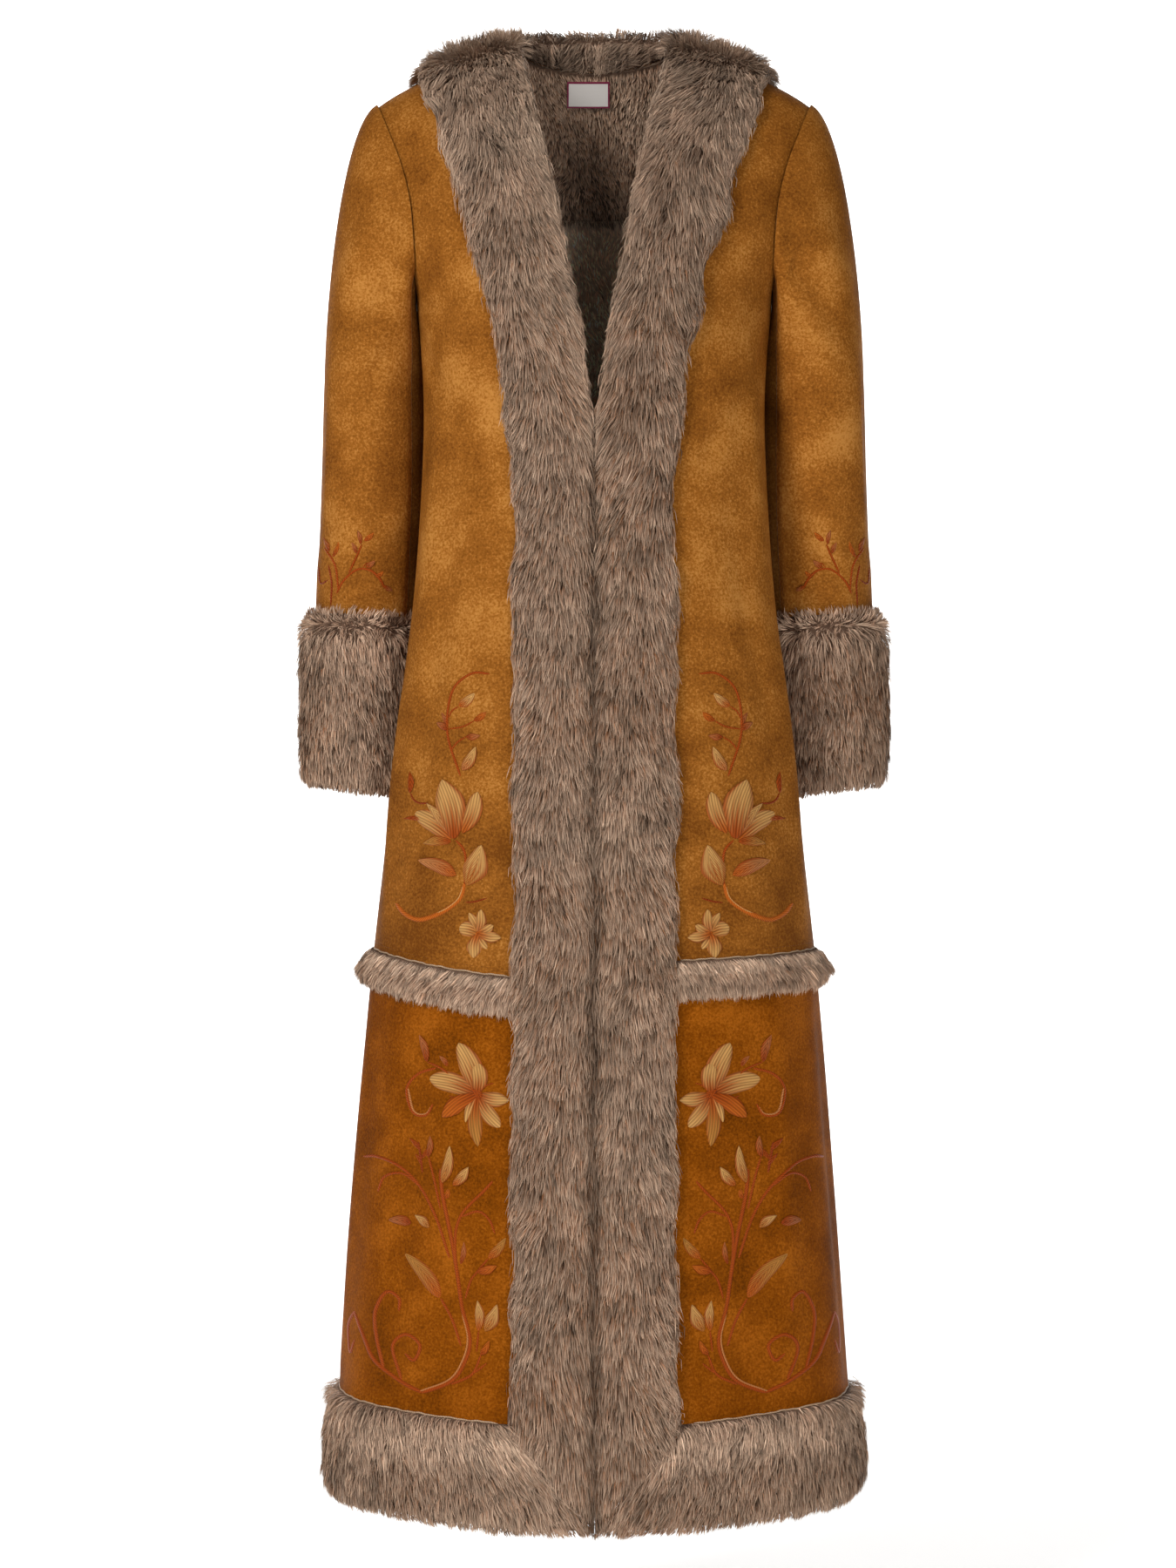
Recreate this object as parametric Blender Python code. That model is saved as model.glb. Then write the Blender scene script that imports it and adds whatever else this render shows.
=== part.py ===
"""A long open-front coat of suede with a fur collar, front bands, cuffs, knee strip and hem band.

The coat is filled out as when worn and hollow. Metres, +Z up, front towards -Y, the wearer's left at +X.
The origin is the middle of the neck at the height of the side neck points, where the shoulders carry it.
"""

from collections import namedtuple

import bmesh
import bpy
import numpy as np

# Cloth and seams
WALL = 0.0022
SEAM = 0.0003
LIFT = 0.0009
SEAM_ANGLE = 0.0010
MITRE_GAP = 0.0045

# Heights
UNDERARM_Z = -0.239
TIER_Z = -0.823
HEM_SEAM_Z = -1.238
HEM_Z = -1.327
HEM_RISE = 0.015

# Shoulders and neck
NECK_HALF = 0.072
SHOULDER_HALF = 0.198
SHOULDER_SLOPE = 0.41
SHOULDER_BULGE = 0.006
RIDGE_Y = 0.008
NAPE_DROP = 0.010
ARMHOLE_ANGLE = np.radians(60)
ARMHOLE_TURN = 0.35
ROUNDNESS = 2.15
SHOULDER_ROUND = 2.2
NECK_ROUND = 1.7
NECK_ROUND_REACH = 0.10

# The sides are pressed in where the sleeves hang against them.
DENT_ANGLE = np.radians(112)
DENT_SPREAD = np.radians(28)

# Fur: the height of the pile over its base, and how thin it gets at an edge
STRIP_PILE = 0.011
STRIP_DEPTH = 0.024
HEM_PILE = 0.013
CUFF_PILE = 0.0160
LINING_PILE = 0.005
EDGE_PILE = 0.0025
PILE_SQUARE = 3.0
PILE_ROUND = 0.6
CUFF_PRESSED = 0.55
CUFF_PRESSED_POWER = 3
BAND_OVERHANG = 0.0035

# Collar behind the neck
COLLAR_STAND = 0.040
COLLAR_FALL_Z = -0.095
COLLAR_HALF = 0.159
COLLAR_PILE = 0.019
COLLAR_LIFT = 0.0014
COLLAR_STAND_POWER = 1.3
COLLAR_CORNER_POWER = 4
COLLAR_ROLL_START = 0.1
COLLAR_ROLL_SPAN = 0.5

# Lining and label inside the back neck
LINING_SPAN = 10
YOKE_ROWS = 5
LINING_ROWS = 7
LABEL_HALF = 0.0205
LABEL_X = -0.0055
LABEL_TOP = 0.004
LABEL_LIFT = 0.0016
LABEL_DEPTH = 0.024
LABEL_WALL = 0.0008

# Two-piece sleeve: where its seams run round the arm, and its ends
SLEEVE_FRONT_SEAM = np.radians(140)
SLEEVE_BACK_SEAM = np.radians(-120)
SLEEVE_SEAM_ANGLE = 0.003
BICEPS_Z = -0.300
SLEEVE_END_Z = -0.660
CUFF_TOP_Z = -0.519
CUFF_END_Z = -0.679
CUFF_TOP_TILT = 0.003
CUFF_END_TILT = 0.007
CUFF_CLEAR = 0.0011

# How the sleeve's cap leaves the armhole
CAP_PULL_OUT = 0.090
CAP_PULL_UNDER = 0.006
CAP_END_OUT = 0.004
CAP_PULL_DOWN = 0.045
CAP_PULL_ROUND = 0.020
CAP_PULL_BACK = 0.020

# Cells of the pieces: the upper panels have rows below and above the underarm
FRONT_ACROSS = 10
BACK_ACROSS = 18
BODICE_BELOW = 8
BODICE_ABOVE = 9
BODICE_SPLIT = BODICE_BELOW / (BODICE_BELOW + BODICE_ABOVE)
SKIRT_ROWS = 6
SKIRT_BACK_ACROSS = 24
BAND_ACROSS = 6
BAND_SKIRT_ROWS = 7
STRIP_ACROSS = 9
STRIP_ROWS = 5
HEM_ROWS = 6
COLLAR_ACROSS = 7
COLLAR_ROWS = 20
CAP_ROWS = 6
ARM_TUBE_ROWS = 6
SLEEVE_TOP_ACROSS = 13
SLEEVE_UNDER_ACROSS = 5
CUFF_ACROSS = 24
CUFF_ROWS = 5
LABEL_ACROSS = 6
LABEL_ROWS = 3

# Small steps: for a direction from two points, for the last row of a grid, and the angle of a shaded edge
STEP = 1e-4
LAST_ROW = 1 - 1e-6
SHARP_ANGLE = np.radians(40)

# Rings of the body, from the hem up to the underarm
Ring = namedtuple("Ring", "z half_width side_y front_depth back_depth dent")
BODY_RINGS = (
    Ring(-1.330, 0.2400, -0.010, 0.190, 0.190, 0.00),
    Ring(-1.226, 0.2330, -0.010, 0.182, 0.182, 0.00),
    Ring(-1.028, 0.2190, -0.015, 0.168, 0.168, 0.00),
    Ring(-0.902, 0.2095, -0.020, 0.155, 0.158, 0.01),
    Ring(-0.827, 0.2030, -0.025, 0.145, 0.155, 0.02),
    Ring(-0.754, 0.1960, -0.032, 0.135, 0.153, 0.04),
    Ring(-0.680, 0.1900, -0.040, 0.123, 0.154, 0.07),
    Ring(-0.583, 0.1790, -0.042, 0.110, 0.150, 0.08),
    Ring(-0.514, 0.1700, -0.040, 0.106, 0.145, 0.075),
    Ring(-0.434, 0.1625, -0.034, 0.104, 0.137, 0.055),
    Ring(-0.314, 0.1580, -0.025, 0.110, 0.127, 0.03),
    Ring(-0.239, 0.1620, -0.015, 0.118, 0.122, 0.00),
)

# Armhole edge seen from the front: share of the way up to the shoulder ridge, and distance from the middle
Armhole = namedtuple("Armhole", "share half_width")
ARMHOLE_ROWS = (
    Armhole(0.00, 0.162),
    Armhole(0.21, 0.162),
    Armhole(0.43, 0.165),
    Armhole(0.61, 0.173),
    Armhole(0.81, 0.186),
    Armhole(1.00, SHOULDER_HALF),
)

# Fur band along the front edge
Band = namedtuple("Band", "z inner_x width pile")
BAND_ROWS = (
    Band(-1.327, 0.0008, 0.0755, 0.013),
    Band(-0.500, 0.0008, 0.0755, 0.014),
    Band(-0.356, 0.0010, 0.0755, 0.014),
    Band(-0.286, 0.0140, 0.0720, 0.014),
    Band(-0.232, 0.0240, 0.0730, 0.015),
    Band(-0.169, 0.0350, 0.0780, 0.016),
    Band(-0.112, 0.0460, 0.0820, 0.017),
    Band(-0.047, 0.0610, 0.0880, 0.018),
    Band(0.000, 0.0710, 0.0880, 0.019),
)

# Soft flutes of the lower tier, round from the centre front over the wearer's left
Flute = namedtuple("Flute", "angle spread depth top_z")
FLUTES = (
    Flute(34, 13, -0.005, -0.86),
    Flute(63, 12, 0.006, -0.90),
    Flute(118, 14, -0.006, -0.80),
    Flute(143, 13, 0.008, -0.74),
    Flute(166, 12, -0.007, -0.82),
    Flute(191, 13, 0.007, -0.76),
    Flute(216, 13, -0.008, -0.80),
    Flute(241, 14, 0.006, -0.84),
    Flute(298, 13, 0.005, -0.92),
    Flute(329, 14, -0.004, -0.88),
)

# How far the knee seam dips at the centre front
TIER_DIP = {1: 0.008, -1: 0.024}

# Sections of the hanging sleeve, wearer's left, down to the wrist
Arm = namedtuple("Arm", "z centre_x centre_y half_width half_depth")
ARM_ROWS = (
    Arm(-0.690, 0.2135, 0.057, 0.0480, 0.056),
    Arm(-0.520, 0.2090, 0.046, 0.0485, 0.058),
    Arm(-0.410, 0.2045, 0.030, 0.0480, 0.061),
    Arm(-0.300, 0.2020, 0.012, 0.0450, 0.066),
)

COLOURS = {
    "suede": (0.36, 0.15, 0.03),
    "fur": (0.28, 0.21, 0.16),
    "lining": (0.19, 0.13, 0.10),
    "label": (0.72, 0.60, 0.50),
}


def mix(low, high, share):
    return low + (high - low) * share


def ease(share):
    share = np.clip(share, 0, 1)
    return share * share * (3 - 2 * share)


def hermite(start, start_pull, end, end_pull, t):
    """Cubic from start to end with the given pulls at its ends."""
    return (
        start * (2 * t**3 - 3 * t**2 + 1)
        + start_pull * (t**3 - 2 * t**2 + t)
        + end * (3 * t**2 - 2 * t**3)
        + end_pull * (t**3 - t**2)
    )


def column(rows, name, at):
    """A table's column at the places `at` of its first column, on smooth cubics through the rows."""
    place = np.array([row[0] for row in rows])
    value = np.array([getattr(row, name) for row in rows])
    slope = np.gradient(value, place)
    at = np.clip(at, place[0], place[-1])
    i = np.clip(np.searchsorted(place, at, side="right") - 1, 0, len(rows) - 2)
    span = place[i + 1] - place[i]
    return hermite(value[i], slope[i] * span, value[i + 1], slope[i + 1] * span, (at - place[i]) / span)


def signed_power(value, power):
    return np.sign(value) * np.abs(value) ** power


def unit(vectors):
    return vectors / np.linalg.norm(vectors, axis=-1, keepdims=True)


def ridge_z(x):
    """Height of the shoulder ridge, rounded across the neck."""
    x = np.abs(x)
    inside = SHOULDER_SLOPE * (NECK_HALF - x * x / NECK_HALF) / 2
    along = np.clip((x - NECK_HALF) / (SHOULDER_HALF - NECK_HALF), 0, 1)
    bulge = SHOULDER_BULGE * 27 / 4 * along**2 * (1 - along)
    return np.where(x < NECK_HALF, inside, SHOULDER_SLOPE * (NECK_HALF - x) + bulge)


def armhole_angle(share):
    """Angle round the body at which the front ends on the armhole."""
    turn = np.clip(share / ARMHOLE_TURN, 0, 1)
    return np.pi / 2 - (np.pi / 2 - ARMHOLE_ANGLE) * (1 - (1 - turn) ** 2)


def half_width(height):
    """Half the width of the body's section before it is pressed in or fluted."""
    share = np.clip(height, 0, 1)
    upper = column(ARMHOLE_ROWS, "half_width", share) / np.sin(armhole_angle(share)) ** (2 / ROUNDNESS)
    lower = column(BODY_RINGS, "half_width", UNDERARM_Z + np.minimum(height, 0))
    return np.where(height > 0, upper, lower)


def flute_push(angle, z):
    """How far the flutes move the cloth out at an angle and height."""
    push = np.zeros(np.broadcast(angle, z).shape)
    for flute in FLUTES:
        away = (np.degrees(angle) - flute.angle + 180) % 360 - 180
        down = ease((flute.top_z - z) / (flute.top_z - HEM_Z))
        push = push + flute.depth * down * np.exp(-((away / flute.spread) ** 2))
    return push


def body(angle, height):
    """Outer face of the body's cloth.

    Angle 0 is the centre front, a quarter turn the wearer's left side, half a turn the centre back.
    Height is metres from the underarm where it is negative, and above it the share of the way to the ridge.
    """
    angle, height = np.broadcast_arrays(np.asarray(angle, float), np.asarray(height, float))
    across = signed_power(np.sin(angle), 2 / ROUNDNESS)
    ahead = signed_power(np.cos(angle), 2 / ROUNDNESS)
    level = UNDERARM_Z + np.minimum(height, 0)
    share = np.clip(height, 0, 1)
    depth = np.where(
        ahead > 0, column(BODY_RINGS, "front_depth", level), column(BODY_RINGS, "back_depth", level)
    )
    side_y = mix(column(BODY_RINGS, "side_y", level), RIDGE_Y, share)
    turned = np.abs((angle + np.pi) % (2 * np.pi) - np.pi)
    dent = column(BODY_RINGS, "dent", level) * np.exp(-(((turned - DENT_ANGLE) / DENT_SPREAD) ** 2))
    push = flute_push(angle, level)
    x = (half_width(height) * (1 - dent) + push) * across
    reach = np.clip((np.abs(x) - NECK_HALF) / NECK_ROUND_REACH, 0, 1)
    power = np.where(ahead > 0, mix(NECK_ROUND, SHOULDER_ROUND, reach), SHOULDER_ROUND)
    fall = (1 - share**power) ** (1 / power)
    y = side_y - (depth * fall + push) * ahead
    z = level + (ridge_z(x) - UNDERARM_Z) * share
    return np.stack([x, y, z], axis=-1)


def body_out(angle, height):
    """Outward direction of the body's cloth."""
    round_it = body(angle + STEP, height) - body(angle - STEP, height)
    up_it = body(angle, np.minimum(height + STEP, 1)) - body(angle, height - STEP)
    return unit(np.cross(round_it, up_it))


def off_body(angle, height, offset):
    """Points a distance off the outer face of the body's cloth."""
    offset = np.broadcast_to(offset, np.shape(angle))
    return body(angle, height) + body_out(angle, height) * offset[..., None]


def front_angle(x, height):
    """Angle at which the front lies the distance x from the middle."""
    return np.arcsin(np.clip(np.abs(x) / half_width(height), 0, 1) ** (ROUNDNESS / 2))


def nominal_z(height):
    """Height above the origin along the front edge, for the band's table."""
    return np.where(height > 0, UNDERARM_Z * (1 - height), UNDERARM_Z + height)


def band_x(share, height):
    """Distance from the middle at a share of the front band's width."""
    z = nominal_z(height)
    return column(BAND_ROWS, "inner_x", z) + share * column(BAND_ROWS, "width", z)


def tier_height(angle):
    """Height of the knee seam, which dips towards the centre front."""
    side = np.where(np.sin(angle) < 0, TIER_DIP[-1], TIER_DIP[1])
    return TIER_Z - UNDERARM_Z - side * np.clip(np.cos(angle), 0, 1) ** 2


def hem_height(angle, share):
    """Height at a share of the hem band's depth. The hem rises a little towards the sides."""
    return mix(HEM_Z, HEM_SEAM_Z, share) + HEM_RISE * np.sin(angle) ** 2 - UNDERARM_Z


def nape_share(x):
    """Share of the way to the ridge at which the back ends on the neckline."""
    neckline = -NAPE_DROP * (1 - (x / NECK_HALF) ** 2)
    inside = (neckline - UNDERARM_Z) / (ridge_z(x) - UNDERARM_Z)
    return np.where(np.abs(x) < NECK_HALF, inside, 1.0)


def pile(share, height):
    """Rounded height of fur across its width, thin at both edges."""
    crown = np.clip(1 - np.abs(2 * share - 1) ** PILE_SQUARE, 0, 1) ** PILE_ROUND
    return EDGE_PILE + (height - EDGE_PILE) * crown


def closer_at_ends(share):
    """Evenly spaced shares moved towards both ends."""
    return 0.5 - 0.5 * np.cos(np.pi * share)


def add_piece(name, kind, across, along, place, ring=False):
    """One closed piece from a grid of cells. place(u, v) gives its outer and its inner points."""
    made = bmesh.new()
    bmesh.ops.create_grid(made, x_segments=across, y_segments=along, size=0.5)
    at_u = made.verts.layers.float.new("u")
    at_v = made.verts.layers.float.new("v")
    for vert in made.verts:
        vert[at_u] = vert.co.x + 0.5
        vert[at_v] = vert.co.y + 0.5
        if ring and vert.co.x > 0.499:
            vert.co.x = -0.5
            vert[at_u] = 0.0
    bmesh.ops.remove_doubles(made, verts=made.verts, dist=1e-5)
    grown = bmesh.ops.extrude_face_region(made, geom=made.faces[:], use_keep_orig=True)
    outer_verts = [item for item in grown["geom"] if isinstance(item, bmesh.types.BMVert)]
    inner_verts = [vert for vert in made.verts if vert not in set(outer_verts)]
    for verts, side in ((outer_verts, 0), (inner_verts, 1)):
        u = np.array([vert[at_u] for vert in verts], float)
        v = np.array([vert[at_v] for vert in verts], float)
        for vert, point in zip(verts, place(u, v)[side]):
            vert.co = point
    bmesh.ops.recalc_face_normals(made, faces=made.faces[:])
    mesh = bpy.data.meshes.new(name)
    made.to_mesh(mesh)
    made.free()
    mesh.shade_smooth()
    mesh.set_sharp_from_angle(angle=SHARP_ANGLE)
    mesh.materials.append(bpy.data.materials[kind])
    coat.objects.link(bpy.data.objects.new(name, mesh))


def add_wall(name, across, along, where):
    """A suede panel: where(u, v) gives angle and height on the body."""

    def place(u, v):
        angle, height = where(u, v)
        return body(angle, height), off_body(angle, height, -WALL)

    add_piece(name, "suede", across, along, place)


def at_shoulder_seam(v, offset):
    """Moves the last row of a panel off the shoulder seam."""
    return np.where(v[..., None] > LAST_ROW, [0, offset, 0], [0, 0, 0])


def upper_height(v, bottom):
    """Height up an upper panel that starts at the height `bottom` and ends on the shoulder."""
    below = bottom * (1 - v / BODICE_SPLIT)
    above = closer_at_ends(np.clip((v - BODICE_SPLIT) / (1 - BODICE_SPLIT), 0, 1))
    return np.where(v < BODICE_SPLIT * LAST_ROW, below, above)


def side_edge(height):
    """Angle at which an upper panel ends on the side seam or the armhole."""
    return np.where(height > 0, armhole_angle(np.clip(height, 0, 1)), np.pi / 2) - SEAM_ANGLE


def front_upper(side):
    """Front from the knee seam to the shoulder, cut in a V beside the band."""

    def place(u, v):
        height = upper_height(v, TIER_Z - UNDERARM_Z)
        edge = front_angle(band_x(0, height) + BAND_OVERHANG, height)
        angle = side * mix(edge, side_edge(height), u)
        height = upper_height(v, tier_height(angle) + SEAM / 2)
        front = at_shoulder_seam(v, -SEAM / 2)
        return body(angle, height) + front, off_body(angle, height, -WALL) + front

    add_piece(f"front_upper_{SIDE_NAMES[side]}", "suede", FRONT_ACROSS, BODICE_BELOW + BODICE_ABOVE, place)


def back_upper_place(u, v, offset):
    """Points of the upper back's grid, moved out by offset."""
    height = upper_height(v, TIER_Z - UNDERARM_Z + SEAM / 2)
    angle = np.pi + side_edge(height) * (2 * u - 1)
    x = body(angle, height)[..., 0]
    height = np.where(height > 0, height * nape_share(x), height)
    return off_body(angle, height, offset) + at_shoulder_seam(v, SEAM / 2)


def back_upper():
    add_piece(
        "back_upper",
        "suede",
        BACK_ACROSS,
        BODICE_BELOW + BODICE_ABOVE,
        lambda u, v: (back_upper_place(u, v, 0.0), back_upper_place(u, v, -WALL)),
    )


def lower_height(v, angle):
    return mix(hem_height(angle, 1) + SEAM / 2, tier_height(angle) - SEAM / 2, v)


def front_lower(side):
    """Front of the flared lower tier."""

    def where(u, v):
        height = mix(HEM_SEAM_Z, TIER_Z, v) - UNDERARM_Z
        edge = front_angle(band_x(0, height) + BAND_OVERHANG, height)
        angle = side * mix(edge, np.pi / 2 - SEAM_ANGLE, u)
        return angle, lower_height(v, angle)

    add_wall(f"front_lower_{SIDE_NAMES[side]}", FRONT_ACROSS, SKIRT_ROWS, where)


def back_angle(u):
    return np.pi + (np.pi / 2 - SEAM_ANGLE) * (2 * u - 1)


def back_lower():
    def where(u, v):
        return back_angle(u), lower_height(v, back_angle(u))

    add_wall("back_lower", SKIRT_BACK_ACROSS, SKIRT_ROWS, where)


def mitre_angle(share):
    """Angle of the mitre between front band and hem band at a share of their width."""
    height = mix(HEM_Z, HEM_SEAM_Z, share) - UNDERARM_Z
    return front_angle(band_x(share, height), height)


def front_band(side):
    """Fur from the mitre at the hem to the shoulder seam."""
    rows = BAND_SKIRT_ROWS + BODICE_BELOW + BODICE_ABOVE
    knee = BAND_SKIRT_ROWS / rows

    def place(u, v):
        u = closer_at_ends(u)
        skirt = mix(hem_height(mitre_angle(u), u), TIER_Z - UNDERARM_Z, v / knee)
        bodice = upper_height(np.clip((v - knee) / (1 - knee), 0, 1), TIER_Z - UNDERARM_Z)
        height = np.where(v < knee, skirt, bodice)
        angle = side * front_angle(band_x(u, height), height)
        front = at_shoulder_seam(v, -SEAM / 2)
        crown = LIFT + pile(u, column(BAND_ROWS, "pile", nominal_z(height)))
        return off_body(angle, height, crown) + front, off_body(angle, height, LIFT) + front

    add_piece(f"front_band_{SIDE_NAMES[side]}", "fur", BAND_ACROSS, rows, place)


def collar_back():
    """Fur round the back neck: a stand at the neck edge that rolls over into a fall on the back."""

    def place(u, v):
        u = closer_at_ends(u)
        turn = (2 * v - 1) * np.pi / 2
        neck_x = NECK_HALF * np.sin(turn)
        edge_x = COLLAR_HALF * np.sin(turn)
        edge_z = mix(COLLAR_FALL_Z, ridge_z(edge_x), np.abs(np.sin(turn)) ** COLLAR_CORNER_POWER)
        edge_share = np.clip((edge_z - UNDERARM_Z) / (ridge_z(edge_x) - UNDERARM_Z), 0, 1)
        x = mix(neck_x, edge_x, u)
        share = mix(nape_share(neck_x), edge_share, u)
        angle = np.pi - np.sign(x) * front_angle(x, share)
        back = at_shoulder_seam(np.abs(2 * v - 1), SEAM / 2)
        base = off_body(angle, share, COLLAR_LIFT) + back
        top = off_body(angle, share, COLLAR_LIFT + pile(u, COLLAR_PILE)) + back
        roll = 1 - ease((u - COLLAR_ROLL_START) / COLLAR_ROLL_SPAN)
        top[..., 2] += COLLAR_STAND * np.cos(turn) ** COLLAR_STAND_POWER * roll
        return top, base

    add_piece("collar_back", "fur", COLLAR_ACROSS, COLLAR_ROWS, place)


def strip_place(angle, v):
    """Outer and inner points of the fur strip under the knee seam at a share v of its depth."""
    height = tier_height(angle) - SEAM - STRIP_DEPTH * (1 - v)
    return off_body(angle, height, LIFT + pile(v, STRIP_PILE)), off_body(angle, height, LIFT)


def tier_strip(side):
    level = TIER_Z - UNDERARM_Z - STRIP_DEPTH
    edge = front_angle(band_x(1, level) + 2 * SEAM, level)

    def place(u, v):
        angle = side * mix(edge, np.pi / 2 - SEAM_ANGLE, u)
        return strip_place(angle, closer_at_ends(v))

    add_piece(f"tier_strip_{SIDE_NAMES[side]}", "fur", STRIP_ACROSS, STRIP_ROWS, place)


def tier_strip_back():
    def place(u, v):
        return strip_place(back_angle(u), closer_at_ends(v))

    add_piece("tier_strip_back", "fur", SKIRT_BACK_ACROSS, STRIP_ROWS, place)


def hem_place(angle, v):
    """Outer and inner points of the hem band at a share v of its depth."""
    height = hem_height(angle, v) - SEAM / 2
    return off_body(angle, height, pile(v, HEM_PILE)), off_body(angle, height, -WALL)


def hem_band(side):
    def place(u, v):
        v = closer_at_ends(v)
        angle = mix(mitre_angle(v) + MITRE_GAP, np.pi / 2 - SEAM_ANGLE, u)
        return hem_place(side * angle, v)

    add_piece(f"hem_band_{SIDE_NAMES[side]}", "fur", FRONT_ACROSS, HEM_ROWS, place)


def hem_band_back():
    def place(u, v):
        return hem_place(back_angle(u), closer_at_ends(v))

    add_piece("hem_band_back", "fur", SKIRT_BACK_ACROSS, HEM_ROWS, place)


def armhole(turn):
    """Where the sleeve's middle surface starts, over the armhole's edge. Turn 0 is the shoulder point."""
    share = (1 + np.cos(turn)) / 2
    front = armhole_angle(share)
    angle = np.where(np.sin(turn) >= 0, front, np.pi - front)
    return off_body(angle, share, 2 * SEAM + WALL / 2)


def arm_ring(turn, z):
    """Middle surface of the wearer's left sleeve: turn 0 is its outer side, a quarter turn its front."""
    x = column(ARM_ROWS, "centre_x", z) + column(ARM_ROWS, "half_width", z) * np.cos(turn)
    y = column(ARM_ROWS, "centre_y", z) - column(ARM_ROWS, "half_depth", z) * np.sin(turn)
    return np.stack(np.broadcast_arrays(x, y, z), axis=-1)


def sleeve(turn, t):
    """Middle surface of the sleeve: t 0 to 1 is the cap down to the biceps, 1 to 2 the arm to the wrist."""
    start = armhole(turn)
    end = arm_ring(turn, np.full(np.shape(turn), BICEPS_Z))
    drop = end[..., 2] - start[..., 2]
    flat = np.zeros(np.shape(turn))
    inside = (1 - np.cos(turn)) / 2
    start_pull = np.stack(
        [
            mix(CAP_PULL_OUT, CAP_PULL_UNDER, inside),
            CAP_PULL_BACK * inside - CAP_PULL_ROUND * np.sin(turn),
            flat - CAP_PULL_DOWN,
        ],
        axis=-1,
    )
    end_pull = np.stack([flat + CAP_END_OUT, flat, drop], axis=-1)
    cap = hermite(start, start_pull, end, end_pull, np.clip(t, 0, 1)[..., None])
    tube = arm_ring(turn, mix(BICEPS_Z, SLEEVE_END_Z, np.clip(t - 1, 0, 1)))
    return np.where((t < 1)[..., None], cap, tube)


def sleeve_out(turn, t):
    """Outward direction of the sleeve."""
    round_it = sleeve(turn + STEP, t) - sleeve(turn - STEP, t)
    down_it = sleeve(turn, np.minimum(t + STEP, 2)) - sleeve(turn, np.maximum(t - STEP, 0))
    return unit(np.cross(round_it, down_it))


def mirrored(points, side):
    """The wearer's left as it is, and the right from it."""
    return points * np.array([side, 1, 1])


def sleeve_panel(name, side, across, first, last):
    """A sleeve piece between two of its lengthwise seams."""
    rows = ARM_TUBE_ROWS + CAP_ROWS

    def place(u, v):
        turn = mix(first + SLEEVE_SEAM_ANGLE, last - SLEEVE_SEAM_ANGLE, u)
        t = np.interp(v * rows, [0, ARM_TUBE_ROWS, rows], [2, 1, 0])
        middle = sleeve(turn, t)
        out = sleeve_out(turn, t) * WALL / 2
        return mirrored(middle + out, side), mirrored(middle - out, side)

    add_piece(f"{name}_{SIDE_NAMES[side]}", "suede", across, rows, place)


def sleeves(side):
    front, back = SLEEVE_FRONT_SEAM, SLEEVE_BACK_SEAM
    sleeve_panel("sleeve_top", side, SLEEVE_TOP_ACROSS, back, front)
    sleeve_panel("sleeve_under", side, SLEEVE_UNDER_ACROSS, front, back + 2 * np.pi)


def cuff(side):
    """Turned-up fur cuff, a ring round the sleeve's end, pressed thinner against the body."""

    def place(u, v):
        v = closer_at_ends(v)
        turn = 2 * np.pi * u
        tilt = np.cos(turn)
        z = mix(CUFF_END_Z + CUFF_END_TILT * tilt, CUFF_TOP_Z + CUFF_TOP_TILT * tilt, v)
        middle = arm_ring(turn, z)
        round_it = arm_ring(turn + STEP, z) - arm_ring(turn - STEP, z)
        out = unit(np.cross([0, 0, 1], round_it))
        pressed = 1 - CUFF_PRESSED * ((1 - tilt) / 2) ** CUFF_PRESSED_POWER
        clear = WALL / 2 + CUFF_CLEAR
        outer = middle + out * (clear + pile(v, CUFF_PILE) * pressed)[..., None]
        return mirrored(outer, side), mirrored(middle + out * clear, side)

    add_piece(f"cuff_{SIDE_NAMES[side]}", "fur", CUFF_ACROSS, CUFF_ROWS, place, ring=True)


def lining(name, first_row, rows):
    """Fur lining on the back's own cells, from a row of them upwards."""

    def place(u, v):
        trim = np.where(v > 0.5, -SEAM, SEAM) / 2
        u = 0.5 + (u - 0.5) * LINING_SPAN / BACK_ACROSS
        v = (first_row + v * rows) / (BODICE_BELOW + BODICE_ABOVE)
        near = WALL + SEAM
        outer = back_upper_place(u, v, -near)
        inner = back_upper_place(u, v, -near - LINING_PILE)
        outer[..., 2] += trim
        inner[..., 2] += trim
        return outer, inner

    add_piece(name, "lining", LINING_SPAN, rows, place)


def label():
    """Plain woven label hanging from the neck seam on the lining."""

    def place(u, v):
        x = LABEL_X + mix(LABEL_HALF, -LABEL_HALF, u)
        top_z = -NAPE_DROP - LABEL_TOP
        z = mix(top_z - LABEL_DEPTH, top_z, v)
        share = (z - UNDERARM_Z) / (ridge_z(x) - UNDERARM_Z)
        angle = np.pi - np.sign(x) * front_angle(x, share)
        near = WALL + SEAM + LINING_PILE + LABEL_LIFT
        return off_body(angle, share, -near), off_body(angle, share, -near - LABEL_WALL)

    add_piece("label", "label", LABEL_ACROSS, LABEL_ROWS, place)


for old in list(bpy.data.objects):
    bpy.data.objects.remove(old, do_unlink=True)

coat = bpy.data.collections.new("embroidered_coat")
bpy.context.scene.collection.children.link(coat)

for kind, colour in COLOURS.items():
    material = bpy.data.materials.new(kind)
    material.use_nodes = True
    shader = material.node_tree.nodes["Principled BSDF"]
    shader.inputs["Base Color"].default_value = (*colour, 1)
    shader.inputs["Roughness"].default_value = 0.9
    shader.inputs["Metallic"].default_value = 0.0

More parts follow.
